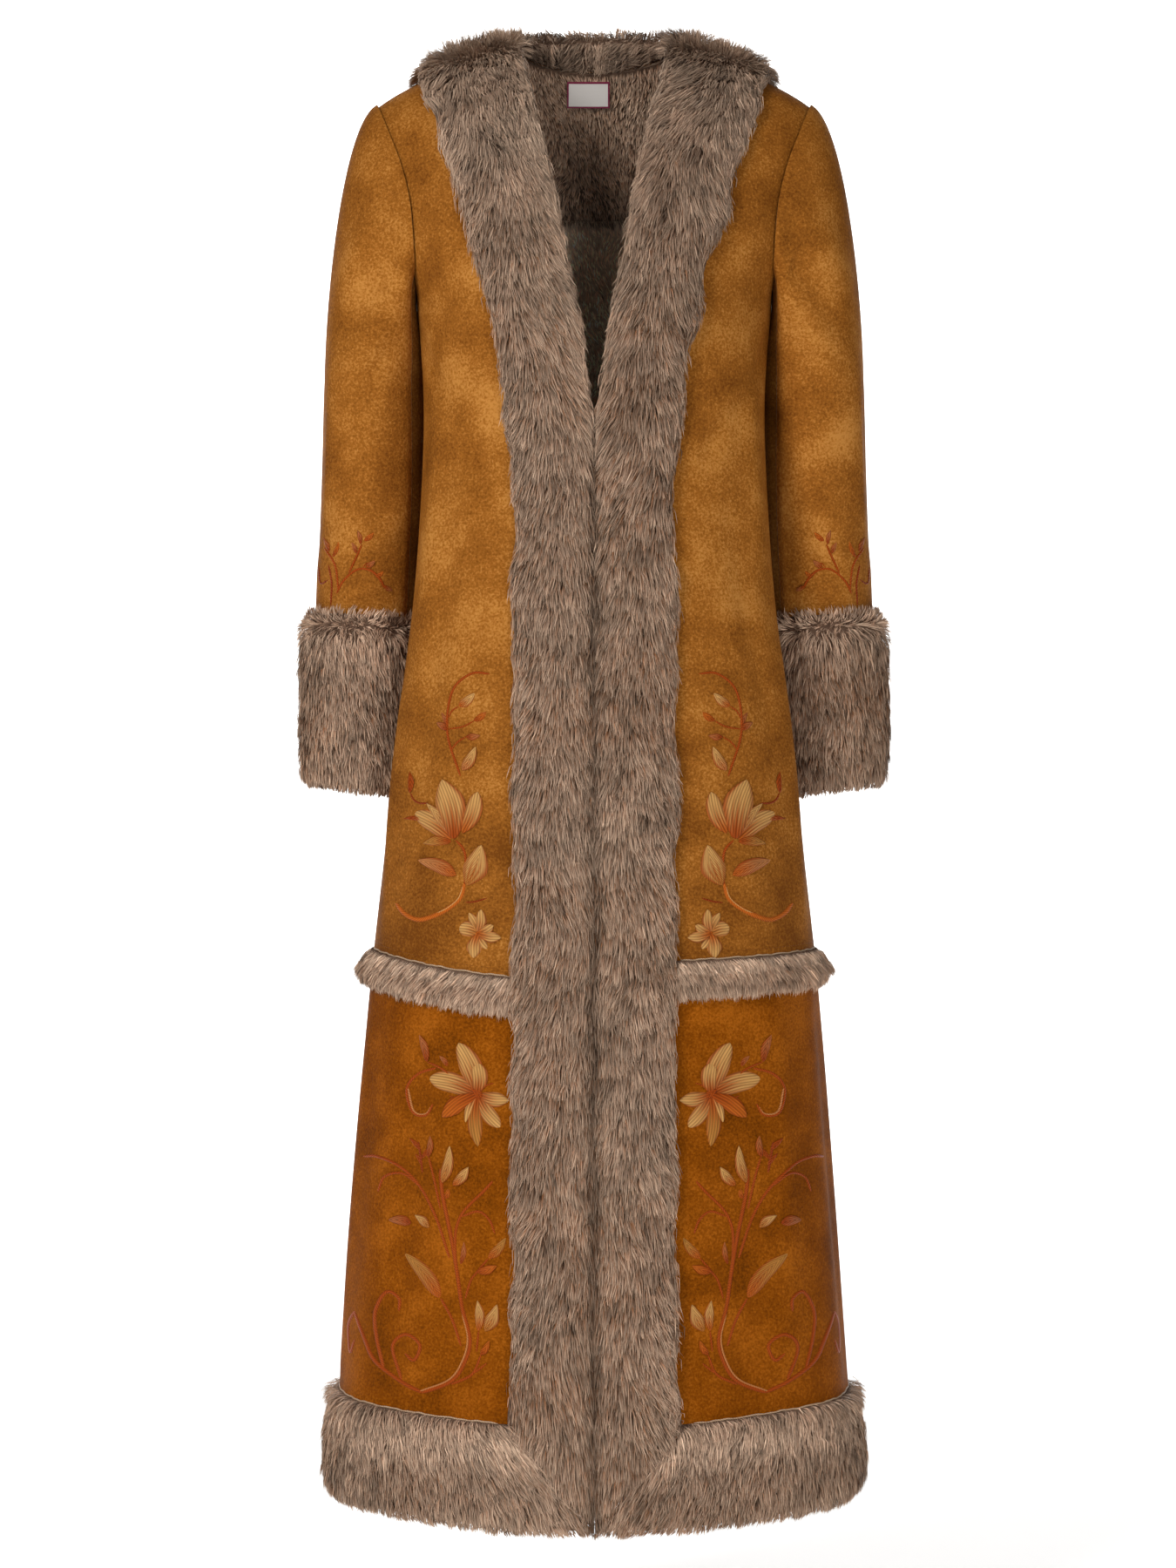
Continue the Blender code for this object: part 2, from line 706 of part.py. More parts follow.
SIDE_NAMES = {1: "left", -1: "right"}
for side in SIDE_NAMES:
    front_upper(side)
    front_lower(side)
    sleeves(side)
    cuff(side)
    front_band(side)
    tier_strip(side)
    hem_band(side)
back_upper()
back_lower()
collar_back()
tier_strip_back()
hem_band_back()
yoke_row = BODICE_BELOW + BODICE_ABOVE - YOKE_ROWS
lining("lining_yoke", yoke_row, YOKE_ROWS)
lining("lining_back", yoke_row - LINING_ROWS, LINING_ROWS)
label()
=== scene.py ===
"""Looks of a long open-front suede coat with fur trim and flower embroidery, filled out as when worn.

Metres, +Z up, front towards -Y, the wearer's left at +X, in the frame of the coat's solids.
"""

from collections import namedtuple

import bmesh
import bpy
import numpy as np
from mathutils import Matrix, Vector


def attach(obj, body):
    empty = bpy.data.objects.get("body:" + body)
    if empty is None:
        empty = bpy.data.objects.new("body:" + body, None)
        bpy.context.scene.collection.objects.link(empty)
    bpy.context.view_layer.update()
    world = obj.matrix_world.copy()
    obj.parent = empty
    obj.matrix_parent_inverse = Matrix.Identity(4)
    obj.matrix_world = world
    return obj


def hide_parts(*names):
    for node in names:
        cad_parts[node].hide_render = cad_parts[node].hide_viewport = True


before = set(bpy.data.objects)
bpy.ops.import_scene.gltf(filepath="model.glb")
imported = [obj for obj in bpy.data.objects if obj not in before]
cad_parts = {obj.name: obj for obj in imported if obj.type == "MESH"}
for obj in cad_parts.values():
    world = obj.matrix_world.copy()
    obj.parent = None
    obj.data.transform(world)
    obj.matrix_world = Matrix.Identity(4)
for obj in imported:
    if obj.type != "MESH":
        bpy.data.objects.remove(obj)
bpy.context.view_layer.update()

# Camera: the photo's view, straight on from the front
CAMERA_PLACE = (-0.0056, -4.2, -0.674)
CAMERA_LENS = 105.0
SENSOR = 36.0

# Cloth and seams, as in the solids
WALL = 0.0022
SEAM = 0.0003
LIFT = 0.0009
SEAM_ANGLE = 0.0010
MITRE_GAP = 0.0045
UNDERARM_Z = -0.239
WAIST_Z = -0.539
TIER_Z = -0.823
HEM_SEAM_Z = -1.238
HEM_Z = -1.327
HEM_RISE = 0.015
NECK_HALF = 0.072
SHOULDER_HALF = 0.198
SHOULDER_SLOPE = 0.41
SHOULDER_BULGE = 0.006
RIDGE_Y = 0.008
NAPE_DROP = 0.010
ARMHOLE_ANGLE = np.radians(60)
ARMHOLE_TURN = 0.35
ROUNDNESS = 2.15
SHOULDER_ROUND = 2.2
NECK_ROUND = 1.7
NECK_ROUND_REACH = 0.10
DENT_ANGLE = np.radians(112)
DENT_SPREAD = np.radians(28)

# Fur, as in the solids
STRIP_PILE = 0.011
STRIP_DEPTH = 0.024
HEM_PILE = 0.013
CUFF_PILE = 0.0160
LINING_PILE = 0.005
EDGE_PILE = 0.0025
PILE_SQUARE = 3.0
PILE_ROUND = 0.6
CUFF_PRESSED = 0.55
CUFF_PRESSED_POWER = 3
BAND_OVERHANG = 0.0035
BAND_SHOWN = 0.90
BAND_SHOWN_NECK = 0.95
COLLAR_STAND = 0.040
COLLAR_FALL_Z = -0.095
COLLAR_HALF = 0.159
COLLAR_PILE = 0.019
COLLAR_LIFT = 0.0014
COLLAR_STAND_POWER = 1.3
COLLAR_CORNER_POWER = 4
COLLAR_ROLL_START = 0.1
COLLAR_ROLL_SPAN = 0.5

# Label, as in the solids
LABEL_HALF = 0.0205
LABEL_X = -0.0055
LABEL_TOP = 0.004
LABEL_LIFT = 0.0016
LABEL_DEPTH = 0.024
LABEL_WALL = 0.0008

# Sleeves, as in the solids
SLEEVE_FRONT_SEAM = np.radians(140)
SLEEVE_BACK_SEAM = np.radians(-120)
SLEEVE_SEAM_ANGLE = 0.003
BICEPS_Z = -0.300
SLEEVE_END_Z = -0.660
CUFF_TOP_Z = -0.519
CUFF_END_Z = -0.679
CUFF_TOP_TILT = 0.003
CUFF_END_TILT = 0.007
CUFF_CLEAR = 0.0011
CAP_PULL_OUT = 0.090
CAP_PULL_UNDER = 0.006
CAP_END_OUT = 0.004
CAP_PULL_DOWN = 0.045
CAP_PULL_ROUND = 0.020
CAP_PULL_BACK = 0.020

# Where the lining's rows begin and end on the upper back, and its share of the back's width
LINING_SHARE = 10 / 18
LINING_SPLIT = 8 / 17
YOKE_START = 12 / 17
LINING_START = 5 / 17

# Share of an upper panel's rows below the underarm, a small step for directions, and the share from which a
# point is on its panel's last row
UPPER_SPLIT = 0.70
STEP = 1e-4
LAST_ROW = 1 - 1e-6

Ring = namedtuple("Ring", "z half_width side_y front_depth back_depth dent")
BODY_RINGS = (
    Ring(-1.330, 0.2400, -0.010, 0.190, 0.190, 0.00),
    Ring(-1.226, 0.2330, -0.010, 0.182, 0.182, 0.00),
    Ring(-1.028, 0.2190, -0.015, 0.168, 0.168, 0.00),
    Ring(-0.902, 0.2095, -0.020, 0.155, 0.158, 0.01),
    Ring(-0.827, 0.2030, -0.025, 0.145, 0.155, 0.02),
    Ring(-0.754, 0.1960, -0.032, 0.135, 0.153, 0.04),
    Ring(-0.680, 0.1900, -0.040, 0.123, 0.154, 0.07),
    Ring(-0.583, 0.1790, -0.042, 0.110, 0.150, 0.08),
    Ring(-0.514, 0.1700, -0.040, 0.106, 0.145, 0.075),
    Ring(-0.434, 0.1625, -0.034, 0.104, 0.137, 0.055),
    Ring(-0.314, 0.1580, -0.025, 0.110, 0.127, 0.03),
    Ring(-0.239, 0.1620, -0.015, 0.118, 0.122, 0.00),
)
Armhole = namedtuple("Armhole", "share half_width")
ARMHOLE_ROWS = (
    Armhole(0.00, 0.162),
    Armhole(0.21, 0.162),
    Armhole(0.43, 0.165),
    Armhole(0.61, 0.173),
    Armhole(0.81, 0.186),
    Armhole(1.00, SHOULDER_HALF),
)
Band = namedtuple("Band", "z inner_x width pile")
BAND_ROWS = (
    Band(-1.327, 0.0008, 0.0755, 0.013),
    Band(-0.500, 0.0008, 0.0755, 0.014),
    Band(-0.392, 0.0010, 0.0755, 0.014),
    Band(-0.356, 0.0050, 0.0715, 0.014),
    Band(-0.286, 0.0140, 0.0720, 0.014),
    Band(-0.232, 0.0240, 0.0730, 0.015),
    Band(-0.169, 0.0350, 0.0780, 0.016),
    Band(-0.112, 0.0460, 0.0820, 0.017),
    Band(-0.047, 0.0610, 0.0880, 0.018),
    Band(0.000, 0.0710, 0.0880, 0.019),
)
Flute = namedtuple("Flute", "angle spread depth top_z")
FLUTES = (
    Flute(34, 13, -0.005, -0.86),
    Flute(63, 12, 0.006, -0.90),
    Flute(118, 14, -0.006, -0.80),
    Flute(143, 13, 0.008, -0.74),
    Flute(166, 12, -0.007, -0.82),
    Flute(191, 13, 0.007, -0.76),
    Flute(216, 13, -0.008, -0.80),
    Flute(241, 14, 0.006, -0.84),
    Flute(298, 13, 0.005, -0.92),
    Flute(329, 14, -0.004, -0.88),
)
TIER_DIP = {1: 0.008, -1: 0.024}
Arm = namedtuple("Arm", "z centre_x centre_y half_width half_depth")
ARM_ROWS = (
    Arm(-0.690, 0.2135, 0.057, 0.0480, 0.056),
    Arm(-0.520, 0.2090, 0.046, 0.0485, 0.058),
    Arm(-0.410, 0.2045, 0.030, 0.0480, 0.061),
    Arm(-0.300, 0.2020, 0.012, 0.0450, 0.066),
)
SIDE_NAMES = {1: "left", -1: "right"}

# Soft creases of the body: both ends as degrees round from the centre front and as height, then
# half the breadth and how far the cloth stands out or sinks in
Crease = namedtuple("Crease", "angle along end_angle end_along breadth depth")
BODY_CREASES = (
    Crease(36, -0.385, 46, -0.350, 0.008, -0.0039),
    Crease(-35, -0.400, -43, -0.372, 0.007, -0.0048),
    Crease(-36, -0.425, -52, -0.415, 0.012, 0.0030),
    Crease(80, -0.270, 52, -0.345, 0.013, -0.0039),
    Crease(-82, -0.262, -55, -0.330, 0.014, -0.0036),
    Crease(62, -0.300, 66, -0.470, 0.020, 0.0045),
    Crease(-60, -0.320, -66, -0.520, 0.021, 0.0039),
    Crease(48, -0.430, 58, -0.640, 0.016, -0.0030),
    Crease(-50, -0.470, -57, -0.700, 0.018, -0.0033),
    Crease(74, -0.560, 70, -0.790, 0.017, 0.0036),
    Crease(-76, -0.600, -70, -0.800, 0.016, 0.0033),
    Crease(40, -0.700, 47, -0.815, 0.015, 0.0024),
    Crease(50, -0.860, 47, -1.190, 0.016, 0.0033),
    Crease(78, -0.880, 80, -1.210, 0.017, -0.0039),
    Crease(-45, -0.900, -50, -1.215, 0.018, -0.0030),
    Crease(-76, -0.870, -80, -1.200, 0.016, 0.0036),
    Crease(128, -0.290, 152, -0.420, 0.015, -0.0045),
    Crease(-126, -0.280, -150, -0.400, 0.014, -0.0040),
    Crease(150, -0.200, 160, -0.560, 0.022, 0.0045),
    Crease(205, -0.180, 196, -0.540, 0.021, 0.0040),
    Crease(180, -0.330, 182, -0.780, 0.020, -0.0039),
    Crease(158, -0.460, 146, -0.800, 0.016, 0.0037),
    Crease(212, -0.480, 219, -0.810, 0.017, -0.0036),
    Crease(130, -0.560, 124, -0.790, 0.015, -0.0036),
    Crease(235, -0.550, 240, -0.790, 0.016, 0.0033),
    Crease(154, -0.860, 151, -1.200, 0.015, -0.0036),
    Crease(178, -0.850, 176, -1.210, 0.015, 0.0036),
    Crease(204, -0.870, 207, -1.205, 0.016, -0.0033),
    Crease(229, -0.860, 232, -1.210, 0.015, 0.0036),
)
BODY_GIRTH = 0.17

# Soft creases of a sleeve: degrees round from its outer side over the front, and place down the sleeve
# where 0 to 1 is the cap and 1 to 2 the arm
SLEEVE_CREASES = (
    Crease(128, 1.44, 66, 1.52, 0.010, -0.0045),
    Crease(118, 1.56, 72, 1.60, 0.011, -0.0036),
    Crease(112, 1.50, 60, 1.57, 0.010, 0.0030),
    Crease(122, 1.34, 80, 1.38, 0.011, -0.0030),
    Crease(96, 1.66, 70, 1.82, 0.012, -0.0027),
    Crease(104, 0.42, 62, 0.84, 0.012, -0.0042),
    Crease(84, 0.34, 44, 0.72, 0.014, 0.0039),
    Crease(120, 0.74, 84, 1.10, 0.012, -0.0036),
    Crease(44, 0.90, 34, 1.36, 0.016, 0.0033),
    Crease(20, 1.10, 8, 1.44, 0.014, -0.0027),
    Crease(-62, 0.40, -40, 0.86, 0.013, -0.0042),
    Crease(-88, 0.80, -60, 1.16, 0.013, 0.0039),
    Crease(-100, 1.40, -52, 1.48, 0.011, -0.0045),
    Crease(-96, 1.54, -44, 1.58, 0.012, -0.0036),
    Crease(-70, 1.48, -30, 1.53, 0.012, 0.0036),
    Crease(190, 1.40, 214, 1.46, 0.010, -0.0030),
    Crease(205, 0.26, 205, 1.45, 0.050, 0.0085),
)
SLEEVE_GIRTH = 0.055
SLEEVE_RUN = 0.33

# A crease fades towards its ends on half a wave, of which it has the part between these shares
CREASE_FADE = (0.15, 0.85)

# Sewn edges roll in a little, the cloth goes on under the sleeve at the armhole, and a sleeve is cut wider
ROLL_DEPTH = 0.0016
ROLL_REACH = 0.0042
ARMHOLE_TUCK = 0.05
ARMHOLE_TUCK_REACH = 0.12

# Stage: the floor is as far below the hem as under a wearer's coat, and a weak white sky lifts the shadows
FLOOR_BELOW = 0.14
SKY_STRENGTH = 0.17


def mix(low, high, share):
    return low + (high - low) * share


def ease(share):
    share = np.clip(share, 0, 1)
    return share * share * (3 - 2 * share)


def rise(value, start, span):
    """0 up to the start and 1 from a span after it, eased between."""
    return ease((value - start) / span)


def hump(value, middle, spread):
    """1 in the middle, falling away on both sides."""
    return np.exp(-(((value - middle) / spread) ** 2))


def hermite(start, start_pull, end, end_pull, t):
    """Cubic from start to end with the given pulls at its ends."""
    return (
        start * (2 * t**3 - 3 * t**2 + 1)
        + start_pull * (t**3 - 2 * t**2 + t)
        + end * (3 * t**2 - 2 * t**3)
        + end_pull * (t**3 - t**2)
    )


def column(rows, name, at):
    """A table's column at the places `at` of its first column, on smooth cubics through the rows."""
    place = np.array([row[0] for row in rows])
    value = np.array([getattr(row, name) for row in rows])
    slope = np.gradient(value, place)
    at = np.clip(at, place[0], place[-1])
    i = np.clip(np.searchsorted(place, at, side="right") - 1, 0, len(rows) - 2)
    span = place[i + 1] - place[i]
    return hermite(value[i], slope[i] * span, value[i + 1], slope[i + 1] * span, (at - place[i]) / span)


def signed_power(value, power):
    return np.sign(value) * np.abs(value) ** power


def unit(vectors):
    return vectors / np.maximum(np.linalg.norm(vectors, axis=-1, keepdims=True), 1e-12)


def ridge_z(x):
    """Height of the shoulder ridge, rounded across the neck."""
    x = np.abs(x)
    inside = SHOULDER_SLOPE * (NECK_HALF - x * x / NECK_HALF) / 2
    along = np.clip((x - NECK_HALF) / (SHOULDER_HALF - NECK_HALF), 0, 1)
    bulge = SHOULDER_BULGE * 27 / 4 * along**2 * (1 - along)
    return np.where(x < NECK_HALF, inside, SHOULDER_SLOPE * (NECK_HALF - x) + bulge)


def armhole_angle(share):
    """Angle round the body at which the front ends on the armhole."""
    turn = np.clip(share / ARMHOLE_TURN, 0, 1)
    return np.pi / 2 - (np.pi / 2 - ARMHOLE_ANGLE) * (1 - (1 - turn) ** 2)


def half_width(height):
    """Half the width of the body's section before it is pressed in or fluted."""
    share = np.clip(height, 0, 1)
    upper = column(ARMHOLE_ROWS, "half_width", share) / np.sin(armhole_angle(share)) ** (2 / ROUNDNESS)
    lower = column(BODY_RINGS, "half_width", UNDERARM_Z + np.minimum(height, 0))
    return np.where(height > 0, upper, lower)


def flute_push(angle, z):
    """How far the flutes move the cloth out at an angle and height."""
    push = np.zeros(np.broadcast(angle, z).shape)
    for flute in FLUTES:
        away = (np.degrees(angle) - flute.angle + 180) % 360 - 180
        down = ease((flute.top_z - z) / (flute.top_z - HEM_Z))
        push = push + flute.depth * down * hump(away, 0, flute.spread)
    return push


def body(angle, height):
    """Outer face of the body's cloth.

    Angle 0 is the centre front, a quarter turn the wearer's left side, half a turn the centre back.
    Height is metres from the underarm where it is negative, and above it the share of the way to the ridge.
    """
    angle, height = np.broadcast_arrays(np.asarray(angle, float), np.asarray(height, float))
    across = signed_power(np.sin(angle), 2 / ROUNDNESS)
    ahead = signed_power(np.cos(angle), 2 / ROUNDNESS)
    level = UNDERARM_Z + np.minimum(height, 0)
    share = np.clip(height, 0, 1)
    depth = np.where(
        ahead > 0, column(BODY_RINGS, "front_depth", level), column(BODY_RINGS, "back_depth", level)
    )
    side_y = mix(column(BODY_RINGS, "side_y", level), RIDGE_Y, share)
    turned = np.abs((angle + np.pi) % (2 * np.pi) - np.pi)
    dent = column(BODY_RINGS, "dent", level) * hump(turned, DENT_ANGLE, DENT_SPREAD)
    push = flute_push(angle, level)
    x = (half_width(height) * (1 - dent) + push) * across
    reach = np.clip((np.abs(x) - NECK_HALF) / NECK_ROUND_REACH, 0, 1)
    power = np.where(ahead > 0, mix(NECK_ROUND, SHOULDER_ROUND, reach), SHOULDER_ROUND)
    fall = (1 - share**power) ** (1 / power)
    y = side_y - (depth * fall + push) * ahead
    z = level + (ridge_z(x) - UNDERARM_Z) * share
    return np.stack([x, y, z], axis=-1)


def body_out(angle, height):
    """Outward direction of the body's cloth."""
    round_it = body(angle + STEP, height) - body(angle - STEP, height)
    up_it = body(angle, np.minimum(height + STEP, 1)) - body(angle, height - STEP)
    return unit(np.cross(round_it, up_it))


def off_body(angle, height, offset):
    """Points a distance off the outer face of the body's cloth."""
    offset = np.broadcast_to(offset, np.shape(angle))
    return body(angle, height) + body_out(angle, height) * offset[..., None]


def front_angle(x, height):
    """Angle at which the front lies the distance x from the middle."""
    return np.arcsin(np.clip(np.abs(x) / half_width(height), 0, 1) ** (ROUNDNESS / 2))


def nominal_z(height):
    """Height above the origin along the front edge, for the band's table."""
    return np.where(height > 0, UNDERARM_Z * (1 - height), UNDERARM_Z + height)


def band_x(share, height):
    """Distance from the middle at a share of the front band's width."""
    z = nominal_z(height)
    return column(BAND_ROWS, "inner_x", z) + share * column(BAND_ROWS, "width", z)


def tier_height(angle):
    """Height of the knee seam, which dips towards the centre front."""
    side = np.where(np.sin(angle) < 0, TIER_DIP[-1], TIER_DIP[1])
    return TIER_Z - UNDERARM_Z - side * np.clip(np.cos(angle), 0, 1) ** 2


def hem_height(angle, share):
    """Height at a share of the hem band's depth. The hem rises a little towards the sides."""
    return mix(HEM_Z, HEM_SEAM_Z, share) + HEM_RISE * np.sin(angle) ** 2 - UNDERARM_Z


def nape_share(x):
    """Share of the way to the ridge at which the back ends on the neckline."""
    neckline = -NAPE_DROP * (1 - (x / NECK_HALF) ** 2)
    inside = (neckline - UNDERARM_Z) / (ridge_z(x) - UNDERARM_Z)
    return np.where(np.abs(x) < NECK_HALF, inside, 1.0)


def pile(share, height):
    """Rounded height of fur across its width, thin at both edges."""
    crown = np.clip(1 - np.abs(2 * share - 1) ** PILE_SQUARE, 0, 1) ** PILE_ROUND
    return EDGE_PILE + (height - EDGE_PILE) * crown


def closer_at_ends(share):
    """Evenly spaced shares moved towards both ends."""
    return 0.5 - 0.5 * np.cos(np.pi * share)


def upper_height(v, bottom, split):
    """Height up an upper panel that starts at the height `bottom` and ends on the shoulder."""
    below = bottom * (1 - v / split)
    above = closer_at_ends(np.clip((v - split) / (1 - split), 0, 1))
    return np.where(v < split * LAST_ROW, below, above)


def side_edge(height):
    """Angle at which an upper panel ends on the side seam or the armhole."""
    return np.where(height > 0, armhole_angle(np.clip(height, 0, 1)), np.pi / 2) - SEAM_ANGLE


def at_shoulder_seam(v, offset):
    """Moves the last row of a panel off the shoulder seam."""
    return np.where(v[..., None] > LAST_ROW, [0, offset, 0], [0, 0, 0])


def back_angle(u):
    return np.pi + (np.pi / 2 - SEAM_ANGLE) * (2 * u - 1)


def mitre_angle(share):
    """Angle of the mitre between front band and hem band at a share of their width."""
    height = mix(HEM_Z, HEM_SEAM_Z, share) - UNDERARM_Z
    return front_angle(band_x(share, height), height)


def armhole(turn):
    """Where the sleeve's middle surface starts, over the armhole's edge. Turn 0 is the shoulder point."""
    share = (1 + np.cos(turn)) / 2
    front = armhole_angle(share)
    angle = np.where(np.sin(turn) >= 0, front, np.pi - front)
    return off_body(angle, share, 2 * SEAM + WALL / 2)


def arm_ring(turn, z):
    """Middle surface of the wearer's left sleeve: turn 0 is its outer side, a quarter turn its front."""
    x = column(ARM_ROWS, "centre_x", z) + column(ARM_ROWS, "half_width", z) * np.cos(turn)
    y = column(ARM_ROWS, "centre_y", z) - column(ARM_ROWS, "half_depth", z) * np.sin(turn)
    return np.stack(np.broadcast_arrays(x, y, z), axis=-1)


def sleeve(turn, t):
    """Middle surface of the sleeve: t 0 to 1 is the cap down to the biceps, 1 to 2 the arm to the wrist."""
    start = armhole(turn)
    end = arm_ring(turn, np.full(np.shape(turn), BICEPS_Z))
    drop = end[..., 2] - start[..., 2]
    flat = np.zeros(np.shape(turn))
    inside = (1 - np.cos(turn)) / 2
    start_pull = np.stack(
        [
            mix(CAP_PULL_OUT, CAP_PULL_UNDER, inside),
            CAP_PULL_BACK * inside - CAP_PULL_ROUND * np.sin(turn),
            flat - CAP_PULL_DOWN,
        ],
        axis=-1,
    )
    end_pull = np.stack([flat + CAP_END_OUT, flat, drop], axis=-1)
    cap = hermite(start, start_pull, end, end_pull, np.clip(t, 0, 1)[..., None])
    tube = arm_ring(turn, mix(BICEPS_Z, SLEEVE_END_Z, np.clip(t - 1, 0, 1)))
    return np.where((t < 1)[..., None], cap, tube)


def sleeve_out(turn, t):
    """Outward direction of the sleeve."""
    round_it = sleeve(turn + STEP, t) - sleeve(turn - STEP, t)
    down_it = sleeve(turn, np.minimum(t + STEP, 2)) - sleeve(turn, np.maximum(t - STEP, 0))
    return unit(np.cross(round_it, down_it))


def mirrored(points, side):
    """The wearer's left as it is, and the right from it."""
    return points * np.array([side, 1, 1])


# Creases and the cloth that carries them


def crease_push(rows, angle, along, girth, run):
    """How far the creases of a table move the cloth out, at degrees round and a place along it."""
    push = np.zeros(np.broadcast(angle, along).shape)
    for row in rows:
        x = ((angle - row.angle + 180) % 360 - 180) * np.radians(girth)
        y = (along - row.along) * run
        end_x = (row.end_angle - row.angle) * np.radians(girth)
        end_y = (row.end_along - row.along) * run
        t = (x * end_x + y * end_y) / (end_x**2 + end_y**2)
        away = np.hypot(x - np.clip(t, 0, 1) * end_x, y - np.clip(t, 0, 1) * end_y)
        fade = np.sin(np.pi * np.clip(mix(*CREASE_FADE, t), 0, 1))
        push = push + row.depth * fade * hump(away, 0, row.breadth)
    return push


def body_crease(angle, height):
    return crease_push(BODY_CREASES, np.degrees(angle), nominal_z(height), BODY_GIRTH, 1.0)


def sleeve_crease(turn, t):
    return crease_push(SLEEVE_CREASES, np.degrees(turn), t, SLEEVE_GIRTH, SLEEVE_RUN)


def cloth(angle, height, offset):
    """Points off the creased cloth of the body."""
    return off_body(angle, height, body_crease(angle, height) + offset)


def sleeve_cloth(side, turn, t, offset):
    """Points off the creased outer face of a sleeve."""
    push = WALL / 2 + sleeve_crease(turn, t) + offset
    return mirrored(sleeve(turn, t) + sleeve_out(turn, t) * push[..., None], side)


def ripple(points, size, seed):
    """Smooth uneven waves about `size` long over points in space, from about -1 to 1."""
    count, spread, most = 7, 1.7, 3.2
    waves = np.random.default_rng(seed)
    total = np.zeros(points.shape[:-1])
    for way in waves.normal(size=(count, 3)):
        total += np.sin(points @ way * (2 * np.pi / size / spread) + waves.uniform(0, 2 * np.pi))
    return total / most


# Meshes


SHARP_ANGLE = np.radians(50)


def add_object(name, data):
    made = bpy.data.objects.new(name, data)
    bpy.context.scene.collection.objects.link(made)
    return made


def add_piece(name, mesh):
    """A finished mesh as a piece of the coat."""
    mesh.update()
    piece = add_object(name, mesh)
    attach(piece, "root")
    return piece


def corner_points(mesh):
    """The number of the point at each corner of the faces."""
    at = np.empty(len(mesh.loops), int)
    mesh.loops.foreach_get("vertex_index", at)
    return at


def quad_ways(corners):
    """The way that each face of four corners points, as long as twice its area."""
    return np.cross(corners[:, 2] - corners[:, 0], corners[:, 3] - corners[:, 1])


def layered_grid(name, across, along, ring=False):
    """A closed flat slab of cells: x and y are shares across and along, z is 0 outside and 1 inside."""
    made = bmesh.new()
    bmesh.ops.create_grid(made, x_segments=across, y_segments=along, size=0.5)
    bmesh.ops.translate(made, vec=(0.5, 0.5, 0), verts=made.verts)
    if ring:
        for vert in made.verts:
            if vert.co.x > LAST_ROW - STEP:
                vert.co.x = 0
        bmesh.ops.remove_doubles(made, verts=made.verts, dist=1e-5)
    grown = bmesh.ops.extrude_face_region(made, geom=made.faces[:], use_keep_orig=True)
    inner = [item for item in grown["geom"] if isinstance(item, bmesh.types.BMVert)]
    bmesh.ops.translate(made, vec=(0, 0, 1), verts=inner)
    bmesh.ops.recalc_face_normals(made, faces=made.faces[:])
    mesh = bpy.data.meshes.new(name)
    made.to_mesh(mesh)
    made.free()
    return mesh


def add_shell(name, across, along, place, materials, size, ring=False):
    """A closed thin piece from cells. place(u, v) gives its outer and inner points, size its flat metres."""
    mesh = layered_grid(name, across, along, ring)
    flat = np.empty(len(mesh.vertices) * 3)
    mesh.vertices.foreach_get("co", flat)
    u, v, inside = flat.reshape(-1, 3).T
    outer, inner = place(u, v)
    points = np.where(inside[:, None] > 0.5, inner, outer)
    mesh.vertices.foreach_set("co", points.ravel())
    at = corner_points(mesh)
    corners = points[at].reshape(-1, 4, 3)
    if np.sum(corners.mean(axis=1) * quad_ways(corners)) < 0:
        mesh.flip_normals()
        at = corner_points(mesh)
    spread = np.stack([u * size[0], v * size[1]], axis=-1)
    mesh.uv_layers.new(name="cloth").uv.foreach_set("vector", spread[at].ravel())
    for material in materials:
        mesh.materials.append(material)
    if len(materials) > 1:
        mesh.polygons.foreach_set("material_index", inside[at].reshape(-1, 4).any(axis=1).astype(int))
    mesh.shade_smooth()
    mesh.set_sharp_from_angle(angle=SHARP_ANGLE)
    return add_piece(name, mesh)


def add_joined(name, points, faces, material, colours, spread=None):
    """One mesh of many small parts from arrays of points and faces, with colours and flat places."""
    mesh = bpy.data.meshes.new(name)
    mesh.from_pydata(points, [], faces)
    shade = mesh.attributes.new("shade", "FLOAT_COLOR", "POINT")
    shade.data.foreach_set("color", np.column_stack([colours, np.ones(len(colours))]).ravel())
    if spread is not None:
        flat = spread[corner_points(mesh)]
        mesh.uv_layers.new(name="thread").uv.foreach_set("vector", flat.ravel())
    mesh.materials.append(material)
    mesh.shade_smooth()
    return add_piece(name, mesh)


# Materials


# Scale of a Wave texture for bands a millimetre apart
WAVE_TURN = 1000 * 2 * np.pi / 20


def linear(code):
    """An sRGB hex colour as linear numbers."""
    value = np.array([int(code[i : i + 2], 16) for i in (1, 3, 5)]) / 255
    return np.where(value <= 0.04045, value / 12.92, ((value + 0.055) / 1.055) ** 2.4)


def rgba(code):
    return (*linear(code), 1.0)


def new_material(name):
    material = bpy.data.materials.new(name)
    material.use_nodes = True
    return material, material.node_tree, material.node_tree.nodes["Principled BSDF"]


def add_node(tree, kind, settings=None, links=None, gives=None):
    """Adds a node with settings and links, by the names or numbers of its sockets, and gives an output.

    The setting stops is a colour ramp's places and hex colours.
    """
    node = tree.nodes.new(kind)

    def socket(sockets, name):
        if isinstance(name, int):
            return sockets[name]
        return next((one for one in sockets if one.enabled and name in (one.name, None)), None)

    for name, value in (settings or {}).items():
        if name == "stops":
            elements = node.color_ramp.elements
            for place, code in value[2:]:
                elements.new(place)
            for element, (place, code) in zip(elements, sorted(value)):
                element.position = place
                element.color = rgba(code)
        elif socket(node.inputs, name):
            socket(node.inputs, name).default_value = value
        else:
            setattr(node, name, value)
    for name, source in (links or {}).items():
        tree.links.new(source, socket(node.inputs, name))
    return socket(node.outputs, gives)


